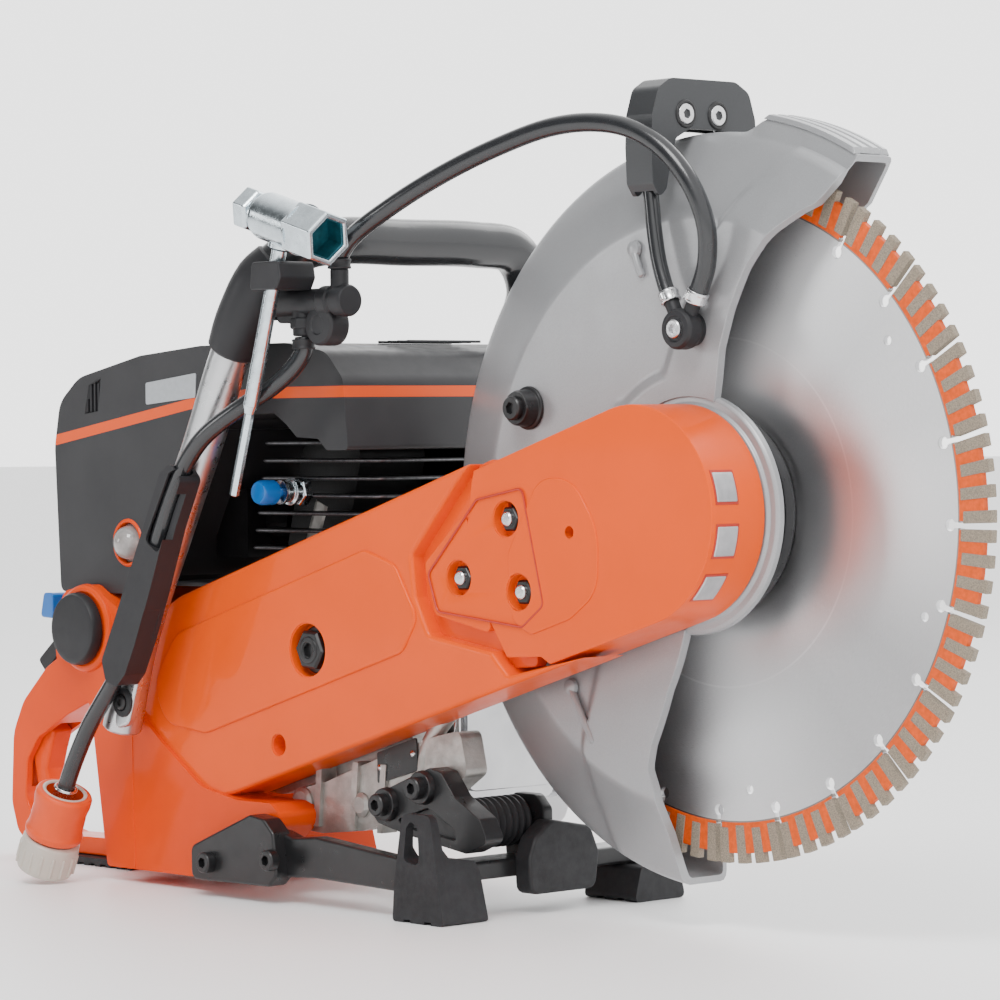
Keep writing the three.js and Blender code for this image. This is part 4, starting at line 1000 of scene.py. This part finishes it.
def make_rear_handle():
    outer = fillet([(-534.4, 162), (-572, 150), (-610, 130), (-637, 106), (-649, 84), (-652, 36), (-645, 16),
        (-628, 6), (-479, 6), (-479, 9.5), (-486.9, 60), (-494.6, 112), (-530.6, 138)], [4, 30, 30, 30, 30, 22, 14,
        14, 3, 2, 20, 12, 4], 6)
    inner = fillet([(-532, 120), (-586, 99), (-620, 82), (-633, 66), (-635, 40), (-624, 22), (-600, 17), (-505, 19),
        (-500, 40), (-508, 104)], [16, 30, 14, 12, 14, 14, 10, 8, 16, 14], 6)
    loop = prism("handle_loop", outer, -33, -5)
    cut(loop, prism("room", inner, -40, 2))
    soften(loop, 8, 6, 34, 42)
    cut(loop, box("slot", -642, -600, -28, -10, 47, 96), box("slot", -636, -598, -26, -12, 128, 152))
    add(loop, (0.5, 2, 50), SAW, "orange_plastic", "rear_handle")
    trigger = slab("trigger_piece", [(-634, 82), (-616, 92), (-609, 86), (-615, 72), (-619, 60), (-616, 50),
        (-622, 47), (-630, 48), (-634, 64)], 3, -27, -11)
    add(trigger, (2.4, 3), "throttle", "orange_plastic", "throttle_trigger")
    lock = slab("lockout_piece", [(-630, 134), (-608, 151), (-600, 144), (-612, 134), (-621, 125)], 3, -25, -13)
    add(lock, (1.6, 3), "lockout", "dark_plastic", "throttle_lockout")
    grip = slab("grip_pad", [(-652.6, 42), (-650.6, 82), (-642, 99), (-639, 96), (-647, 80), (-649, 42)], 1.5, -27, -11)
    add(grip, 0.8, SAW, "rubber")
    switch = box("stop_piece", -566, -552, -25, -13, 163, 169)
    ridge = [box("ridge", -564 + 3 * k, -562.6 + 3 * k, -24, -14, 168.5, 171) for k in range(4)]
    add(merge("stop_switch_piece", switch, *ridge), 0.5, "stop", "dark_plastic", "stop_switch")
    knob = slab("choke_knob", [(-562, 167), (-558, 183.5), (-548, 183.5), (-548, 166.5)], 3, -72, -52)
    stem = box("stem", -549, -535.5, -65, -59, 172.5, 177.5)
    add(merge("choke_piece", knob, stem), (1.6, 3), "choke", "blue_plastic", "choke_lever")
    foot = slab("rear_foot_piece", [(-592, 0), (-506, 0), (-508, 5.6), (-590, 5.6)], 1.5, -42, 4)
    treads = [box("tread", -588 + 12 * k, -582 + 12 * k, -43, 5, -0.5, 1.6) for k in range(7)]
    cut(foot, *treads)
    add(foot, 0.6, SAW, "rubber", "rear_foot")


# ------------------------------------------------------------------ engine
def bore(distance, across=0.0):
    """A point beside the cylinder axis, which leans forward from the crankshaft."""
    t = math.radians(22)
    return (CRANK[0] + math.sin(t) * distance + math.cos(t) * across,
        CRANK[1] + math.cos(t) * distance - math.sin(t) * across)


def make_cylinder():
    fins, edges = [], []
    for i in range(8):
        z = 203 + 11 * i
        back = -380 + i * 2.2
        outline = fillet([(back, -41), (-252, -41), (-252, 59), (back, 59)], 6, 4)
        fins.append(prism("fin", outline, z, z + 2.4, "z"))
        rim = fillet([(back - 0.25, -41.4), (-251.7, -41.4), (-251.7, 59.3), (back - 0.25, 59.3)], 6.2, 4)
        edges.append(prism("edge", rim, z + 0.7, z + 1.7, "z"))
    core = slab("core", [(-370, 203), (-312, 203), (-292, 281), (-350, 281)], 10, -20, 34)
    add(merge("cylinder_fins", core, *fins), 0.6, SAW, "fin_black", "cylinder")
    add(merge("cylinder_fin_edges", *edges), (0.2, 1), SAW, "fin_edge")
    valve = lathe("decomp_hex", (-323, -41.8, 251), NEAR, [(0, 0), (9, 0), (9, 5.5), (8, 6.5), (0, 6.5)], 6)
    nose = lathe("decomp_nose", (-323, -48, 251), NEAR, [(3.4, 0), (7, 0), (7, 4), (8.4, 4.6), (8.4, 6), (6.4, 6.6),
        (6.4, 11), (7.6, 11.8), (7.6, 13.8), (3.4, 14)], 40)
    add(merge("decomp_valve_piece", valve, nose), 0.3, SAW, "zinc", "decompression_valve")
    button = lathe("decomp_button", (-323, -56, 251), NEAR, [(0, 0), (3, 0), (3, 10.5), (7.2, 10.5), (7.7, 11.5),
        (7.7, 21), (6.6, 23.4), (0, 24)], 40)
    add(button, 0.2, "decompression", "blue_plastic", "decompression_button")


DECK = 52                        # crankshaft axis to the foot of the cylinder


def make_crankcase():
    outline = fillet([bore(DECK, -42), bore(DECK, 42), (-300, 150), (-297, 92), (-318, 70), (-352, 60), (-396, 62),
        (-424, 88), (-431, 125), (-424, 165)], 8)
    case = prism("case", outline, -38, 6.8)
    lug = prism("lug", [on_arm(98, 36), on_arm(300, 36), on_arm(300, -36), on_arm(98, -36)], -39.7, -32)
    web = prism("web", [(-300, 66), (-228, 92), (-228, 150), (-300, 150)], -38, -12)
    flange = slab("flange", [(-337, 52), (-322, 66), (-296, 72), (-262, 84), (-238, 92), (-200, 104), (-172, 110),
        (-166, 84), (-200, 62), (-228, 54), (-262, 44), (-300, 40), (-335, 42)], 6, -49.7, -33)
    bulge = [lathe("boss", (x, -34, z), NEAR, [(0, 0), (r, 0), (r - 1.5, h), (r - 4, h + 1.5), (0, h + 1.5)], 28)
        for x, z, r, h in ((-318, 58, 11, 17), (-281, 66, 13, 14), (-262, 60, 9, 17))]
    ribs = [prism("rib", [(x, 44), (x + 5, 44), (x + 9, 86), (x + 4, 86)], -52, -40) for x in (-306, -272, -246)]
    case = unite(case, lug, web, flange)
    case = unite(case, *bulge, *ribs)
    add(case, (2.2, 3, 30), SAW, "casting", "crankcase_right")
    strap, _ = sweep("case_strap", [(-150, -40, 150), (-178, -41, 128), (-196, -43, 112), (-206, -45, 96),
        (-208, -46, 78), (-204, -46, 60)], 5.5, 20, 6, 1)
    add(strap, 0, SAW, "casting")
    left = prism("case_left", outline, 7.2, 46)
    add(left, (3, 3), SAW, "casting", "crankcase_left")
    plate = slab("type_plate_blank", [(-246, 74), (-209, 84), (-210, 104), (-246, 93)], 1.5, -51.2, -49.9)
    add(plate, 0.3, SAW, "black_metal")
    for x, z in ((-243, 84), (-213, 94)):
        rivet = lathe("plate_rivet", (x, -51, z), NEAR, [(0, 0), (2.2, 0), (1.9, 0.9), (0.9, 1.5), (0, 1.6)], 20)
        add(rivet, 0, SAW, "bright_stud")


def make_muffler():
    body = slab("muffler_body", [(-289, 44), (-289, 156), (-228, 156), (-224, 130), (-224, 60), (-232, 40),
        (-284, 40)], 10, -5, 95)
    dent = slab("dent", [(-1, 58), (-1, 140), (84, 140), (84, 58)], 10, -228, -214, "x")
    soften(body, 15, 8, 34)
    cut(body, dent)
    soften(body, 1.4, 3, 40)
    bead, _ = sweep("muffler_seam", [(-257, 96, 40), (-257, 96, 90), (-257, 96, 156)], 1.6, 10, 4, 0.4)
    shield = slab("muffler_shield", [(4, 66), (4, 132), (78, 132), (78, 66)], 8, -228, -225, "x")
    soften(shield, 0.8, 2)
    dress(body, SAW, "muffler_steel", "muffler")
    dress(shield, SAW, "muffler_steel")
    add(bead, 0, SAW, "muffler_steel")


def make_starter():
    x, z = CRANK
    house = lathe("starter_piece", (x, 46, z), FAR, [(60, 0.5), (64, 0.5), (64, 38), (62, 44), (56, 48), (44, 49.6),
        (0, 50), (0, 46), (44, 45.6), (54, 44), (59, 40), (60, 34)], 96)
    slots = []
    for k in range(14):
        a = 2 * math.pi * k / 14
        if abs(math.degrees(a) - 48) < 24:
            continue
        u = Vector((math.cos(a), 0, math.sin(a)))
        slots.append(bar("slot", Vector((x, 99, z)) + u * 22, Vector((x, 99, z)) + u * 50, 3.4, 0.5, 12))
    cut(house, *slots)
    cut(house, bar("slot", (x + 30, 80, z + 34), (x + 30, 100, z + 34), 4, 0, 16))
    add(house, (0.8, 2, 40), SAW, "orange_plastic", "starter_housing")
    grip = slab("pull_grip", [(x + 4, z + 28), (x + 10, z + 27), (x + 50, z + 27), (x + 56, z + 28),
        (x + 56, z + 40), (x + 50, z + 41), (x + 10, z + 41), (x + 4, z + 40)], 4, 97, 112)
    rope = bar("rope", (x + 30, 70, z + 34), (x + 30, 98, z + 34), 3, 0.3, 16)
    add(merge("pull_grip_piece", soften(grip, 3, 4), rope), 0, "starter", "dark_plastic", "starter_handle")
    for a in (80, 200, 320):
        sx, sz = x + 58 * math.cos(math.radians(a)), z + 58 * math.sin(math.radians(a))
        socket_screw("starter_screw", (sx, 86, sz), FAR, 4, 3.5, SAW)


# ------------------------------------------------------------------ frame, feet, front handle
def make_chassis():
    plate = slab("rail_plate", [(-372, 10), (-372, 31), (-314, 54), (-300, 52), (-291, 44), (-288, 18), (-296, 11)],
        [6, 6, 6, 6, 4, 6, 6], -97, -82.5)
    arm = slab("rail_arm", [(-302, 16), (-302, 46), (-284, 41), (-262, 43), (-186, 36), (-150, 34), (-150, 22),
        (-184, 16), (-262, 18)], 5, -88, -76)
    cross = box("rail_cross", -178, -152, -80, 97, 22.5, 33.5)
    pieces = [soften(plate, 1.8, 3), soften(arm, 2.2, 3), soften(cross, 2, 3)]
    dress(merge("chassis_rail_piece", *pieces), SAW, "black_metal", "chassis_rail")
    for x, z in ((-353, 22), (-291, 28)):
        socket_screw("rail_screw", (x, -96.8, z), NEAR, 6.5, 6.5, SAW)
    block = slab("rail_block", [(-24, 12), (30, 12), (33, 34), (26, 50), (-6, 56), (-20, 46), (-25, 34)], 7, -153,
        -139, "x")
    add(block, (2, 3), SAW, "rubber")
    seat = slab("spring_seat", [(-182, 30), (-148, 30), (-148, 62), (-156, 70), (-174, 70), (-182, 62)], 5, -5, 3)
    add(seat, 1.2, SAW, "black_metal")
    shape = fillet([(-236, 57), (-234, 69), (-184, 88), (-174, 86), (-162, 72), (-140, 60), (-133, 47), (-152, 39),
        (-207, 47), (-231, 52)], 5)
    bracket = prism("bracket", shape, -64, -50)
    cut(bracket, slab("pocket", [(-214, 55), (-186, 64), (-164, 54), (-160, 46), (-206, 51)], 3, -66, -60))
    add(bracket, (1.4, 3), SAW, "black_metal", "front_bracket")
    for x, z in ((-222, 64), (-189, 76)):
        boss = lathe("bracket_boss", (x, -63.8, z), NEAR, [(0, 0), (10.5, 0), (9.6, 4.5), (0, 4.5)], 36)
        add(boss, 0.6, SAW, "black_metal")
        socket_screw("bracket_screw", (x, -68, z), NEAR, 6.8, 6.5, SAW)
    profile = [(0, 0), (13, 0)]
    for k in range(8):
        y = 1.5 + k * 5.2
        profile += [(11.6, y), (13.4, y + 0.9), (15.3, y + 1.9), (15.3, y + 3.1), (13.4, y + 4.1)]
    profile += [(11.6, 43.2), (0, 43.2)]
    bellows = lathe("isolator_bellows", (-170, -49.2, 54), FAR, profile, 56)
    add(bellows, 0, SAW, "rubber", "isolator_spring")


def make_feet():
    front = slab("foot_front", [(-182, 0), (-137, 0), (-141, 22), (-149, 64), (-174, 64), (-180, 22)],
        [3, 3, 8, 6, 6, 8], -96, -60)
    keep = slab("wedge", [(-97, 0), (-60, 0), (-62, 30), (-65, 36), (-84, 38), (-88.6, 44), (-90, 66), (-94.6, 66)],
        1.6, -190, -130, "x")
    boolean(front, [keep], "INTERSECT")
    cut(front, slab("slot", [(-172, 36), (-158, 34), (-160, 56), (-166, 60), (-170, 56)], 4, -99, -80), box("tread",
        -172, -166, -99, -58, -1, 1.8), box("tread", -154, -148, -99, -58, -1, 1.8))
    add(front, (1.6, 3), SAW, "rubber", "front_foot_right")
    left = slab("foot_left", [(60, 0), (104, 0), (98, 21.6), (66, 21.6)], 4, -182, -137, "x")
    cut(left, box("tread", -172, -166, 58, 108, -1, 1.8), box("tread", -154, -148, 58, 108, -1, 1.8))
    add(left, (1.6, 3), SAW, "rubber", "front_foot_left")


HANDLE_PATH = [
    (-441, -97, 100), (-422, -97, 157), (-381, -97, 234), (-353, -97, 284), (-325, -97, 338), (-298, -93, 381),
    (-280, -76, 401), (-275, -50, 405), (-275, 0, 405), (-275, 60, 405), (-277, 95, 401), (-284, 115, 378),
    (-303, 120, 345), (-335, 120, 300), (-375, 120, 245), (-415, 120, 200), (-450, 112, 160), (-468, 95, 128),
    (-472, 80, 108),
]


def make_front_handle():
    tube, _ = sweep("handle_tube", HANDLE_PATH, 12.5, 32, 7, 1.5)
    add(tube, 0, SAW, "tube_aluminium", "front_handle")
    grip, _ = sweep("handle_grip", [(-293, -90, 388)] + HANDLE_PATH[6:13], 14.6, 32, 7, 2.5)
    add(grip, 0, SAW, "hose_rubber")
    clamp, _ = sweep("handle_clamp", [(-325, -97, 338), (-311, -96.4, 361), (-298, -93, 381), (-290, -87, 391)],
        [15.6, 16.2, 16.8, 17.2, 17.4, 17.6, 17.8, 17.8, 17.8, 17.4, 17, 16.6, 16.4], 32, 4, 1.5)
    add(clamp, 0, SAW, "dark_plastic")
    plate = slab("handle_end", [(-431, 101), (-417, 105), (-402, 146), (-396, 166), (-412, 172), (-428, 132)],
        [8, 8, 10, 6, 6, 12], -110.6, -104)
    add(plate, (1.8, 3), SAW, "tube_aluminium")
    washer = lathe("handle_end_washer", (-421, -110.4, 119), NEAR, [(0, 0), (9.4, 0), (9.4, 1.4), (8.4, 2.2),
        (5.4, 2.2), (5.2, 1.2), (0, 1.2)], 40)
    add(washer, 0.3, SAW, "dark_plastic")
    socket_screw("handle_end_screw", (-421, -111.4, 119), NEAR, 4.8, 2.6, SAW)
    guide = slab("guide", [(-361, 264), (-351, 270), (-340, 260), (-356, 230), (-373, 190), (-387, 160),
        (-399, 138), (-408, 130), (-419, 133), (-423, 146), (-389, 210)], [5, 5, 5, 12, 12, 8, 5, 5, 5, 6, 20],
        -126, -109.8)
    groove, _ = sweep("groove", SUPPLY_ROUTE[4:13], 6.6, 16, 4, 0)
    cut(guide, groove, slab("mouth", [(-377, 222), (-352, 264), (-341, 268), (-346, 246), (-364, 214)], 4, -127,
        -118), slab("notch", [(-391, 152), (-378, 180), (-372, 176), (-386, 148)], 2, -127, -113))
    add(guide, (1.0, 3, 40), SAW, "dark_plastic", "hose_guide")


# ------------------------------------------------------------------ wrench and valve
def make_wrench():
    axis = Vector((75, 0, -22)).normalized()
    start = Vector((-280, -119, 423))
    rear = lathe("rear_socket", start, axis, [(0, 3), (8, 3), (8, 0), (13.4, 0), (14, 1), (14, 10), (12.6, 12),
        (0, 12)], 6)
    neck = lathe("neck", start + axis * 10, axis, [(0, 0), (11, 0), (10.6, 4), (13.8, 7), (14.6, 10), (14.6, 40),
        (16, 44), (0, 44)], 48)
    front = lathe("front_socket", start + axis * 50, axis, [(0, 0), (16, 0), (17.2, 1.5), (17.2, 26.5),
        (16.4, 27.8), (13.6, 27.8), (13.2, 27), (13.2, 12), (0, 12)], 6)
    shank = bar("shank", (-280, -119, 304), (-249, -119, 403), 4.6, 0.6, 32)
    collar = bar("collar", (-250.4, -119, 397), (-247, -119, 408), 7.6, 1.2, 32)
    tip = bar("tip", (-297, -119, 250), (-279, -119, 307), 3, 0.8, 6)
    shoulder = bar("shoulder", (-281.4, -119, 299.5), (-279.6, -119, 305.5), 3.2, 0.4, 32, 4.6)
    whole = merge("wrench_piece", soften(rear, 0.7, 2), soften(neck, 0.3, 2), soften(front, 0.7, 2), shank, collar,
        tip, shoulder)
    add(whole, 0, "wrench", "zinc", "combination_wrench")
    inside = lathe("wrench_socket_inside", start + axis * 62.2, axis, [(0, 0), (13.1, 0), (13.1, 13.4),
        (12.4, 13.4), (12.4, 1), (0, 1)], 6)
    add(inside, 0, "wrench", "socket_teal")


def make_valve():
    barrel = lathe("valve_barrel", (-287, -97, 366), (1, 0, 0), [(0, 0), (6, 0), (7.6, 1), (8, 6), (8, 50),
        (9.4, 52), (9.4, 60), (8.2, 61), (8.2, 64), (9.6, 65), (9.6, 73), (8.6, 75), (0, 75)], 40)
    disc = lathe("valve_disc", (-236, -88, 352), NEAR, [(0, 0), (12, 0), (12.4, 2), (12.4, 13), (11, 15), (6, 15.6),
        (5.4, 14.6), (0, 14.6)], 48)
    spout = bar("valve_spout", (-222, -97, 366), (-222, -97, 385), 5.6, 0.8, 24)
    drop = bar("valve_drop", (-256, -97, 366), (-256, -97, 345.8), 6.4, 0.8, 24)
    nut = bar("valve_nut", (-256, -97, 357), (-256, -97, 350), 8.2, 1, 6)
    stub = soften(slab("stub", [(-303, 356.5), (-266, 356.5), (-266, 365.5), (-303, 365.5)], 3, -84, -77), 1, 2)
    link = soften(slab("link", [(-280, 354), (-258, 354), (-258, 370), (-280, 370)], 3, -98, -78), 1.5, 2)
    holder = slab("holder", [(-269, 373), (-244, 373), (-240, 380), (-242, 390), (-267, 390)], 3, -128, -100)
    cut(holder, bar("bore", (-263, -119, 357), (-248, -119, 405), 5.6, 0, 24))
    whole = merge("water_valve_piece", soften(barrel, 0.3, 2), soften(disc, 0.3, 2), soften(spout, 0),
        soften(drop, 0), soften(nut, 0.3, 1), stub, link, soften(holder, 1.4, 3))
    dress(whole, SAW, "dark_plastic", "water_valve")
    r = HOSE_R
    for x, z in ((-222, 385), (-256, 338)):
        crimp = lathe("valve_crimp", (x, -97, z), (0, 0, 1), [(r + 0.1, 0), (r + 1.4, 0), (r + 1.7, 0.8),
            (r + 1.2, 2), (r + 1.2, 4), (r + 1.7, 5.2), (r + 1.3, 6), (r + 0.1, 6)], 32)
        add(crimp, (0.2, 1), SAW, "dark_plastic")
    hub = lathe("lever_hub", (-300, -76.4, 362), FAR, [(0, 0), (6, 0), (6.4, 1), (6.4, 4), (5.4, 5.2), (0, 5.2)], 32)
    paddle = slab("paddle", [(-303, 357), (-325, 372), (-327, 379), (-319, 381), (-297, 367)], 3, -76, -71.6)
    add(merge("valve_lever_piece", hub, soften(paddle, 1.3, 2)), 0.3, "water_tap", "blue_plastic", "valve_lever")


# ------------------------------------------------------------------ inner pieces that keep their CAD shape
def paint_nodes():
    kept = {"spindle": "steel", "spindle_pulley": "steel", "cutting_arm": "casting", "spindle_bearing": "steel",
        "drive_belt": "rubber", "drive_pulley": "steel", "spark_plug": "ceramic", "crankshaft_drive_half": "steel",
        "crankshaft_starter_half": "steel", "connecting_rod": "steel", "piston": "casting", "flywheel": "casting",
        "carburettor": "fin_black", "air_filter": "filter_paper"}
    for node, material in kept.items():
        mesh = frame["nodes"][node].data
        mesh.materials.clear()
        mesh.materials.append(MAT[material])


# ------------------------------------------------------------------ floor and light
def light_towards(tree, coords, direction, low, high, start, end):
    """World strength that goes from start to end as the view turns to the direction."""
    dot = tree.nodes.new("ShaderNodeVectorMath")
    dot.operation = "DOT_PRODUCT"
    dot.inputs[1].default_value = direction
    tree.links.new(coords, dot.inputs[0])
    out = tree.nodes.new("ShaderNodeMapRange")
    out.interpolation_type = "SMOOTHSTEP"
    for socket, value in (("From Min", low), ("From Max", high), ("To Min", start), ("To Max", end)):
        out.inputs[socket].default_value = value
    tree.links.new(dot.outputs["Value"], out.inputs["Value"])
    return out.outputs["Result"]


def make_stage():
    floor = bpy.data.meshes.new("floor")
    floor.from_pydata([(-30, -30, 0), (30, -30, 0), (30, 30, 0), (-30, 30, 0)], [], [(0, 1, 2, 3)])
    obj = bpy.data.objects.new("floor", floor)
    bpy.context.scene.collection.objects.link(obj)
    n = Nodes("floor_white", (0.96, 0.96, 0.96), 0.5)
    n.mottle(3, 0.004)
    floor.materials.append(n.mat)
    world = bpy.data.worlds.new("studio")
    bpy.context.scene.world = world
    world.use_nodes = True
    tree = world.node_tree
    sky = tree.nodes["Background"]
    sky.inputs[0].default_value = (1, 1, 1, 1)
    coords = tree.nodes.new("ShaderNodeTexCoord").outputs["Generated"]
    shade = light_towards(tree, coords, (-0.66, -0.75, 0.0), 0.15, 0.85, 1.9, 0.15)
    glow = light_towards(tree, coords, (-0.74, 0.67, 0.0), 0.6, 0.98, 0.0, 0.9)
    total = tree.nodes.new("ShaderNodeMath")
    tree.links.new(shade, total.inputs[0])
    tree.links.new(glow, total.inputs[1])
    tree.links.new(total.outputs[0], sky.inputs[1])
    target = at(-180, 0, 200)
    for name, place, size, power in (("key", (0.9, -1.5, 2.2), 1.0, 44), ("fill", (-2.1, -2.3, 0.9), 0.8, 12),
        ("rim", (-0.4, 2.2, 1.9), 1.5, 20)):
        data = bpy.data.lights.new(name, "AREA")
        data.energy, data.size = power, size
        lamp = bpy.data.objects.new(name, data)
        lamp.location = place
        lamp.rotation_euler = (target - Vector(place)).to_track_quat("-Z", "Y").to_euler()
        bpy.context.scene.collection.objects.link(lamp)


for build in (make_blade, make_flanges, make_guard, make_guard_handle, make_nozzles, make_guard_details,
    make_front_cover, make_rear_cover, make_top_cover, make_tank, make_rear_handle, make_cylinder, make_crankcase,
    make_muffler, make_starter, make_chassis, make_feet, make_front_handle, make_wrench, make_valve, paint_nodes,
    make_stage):
    build()
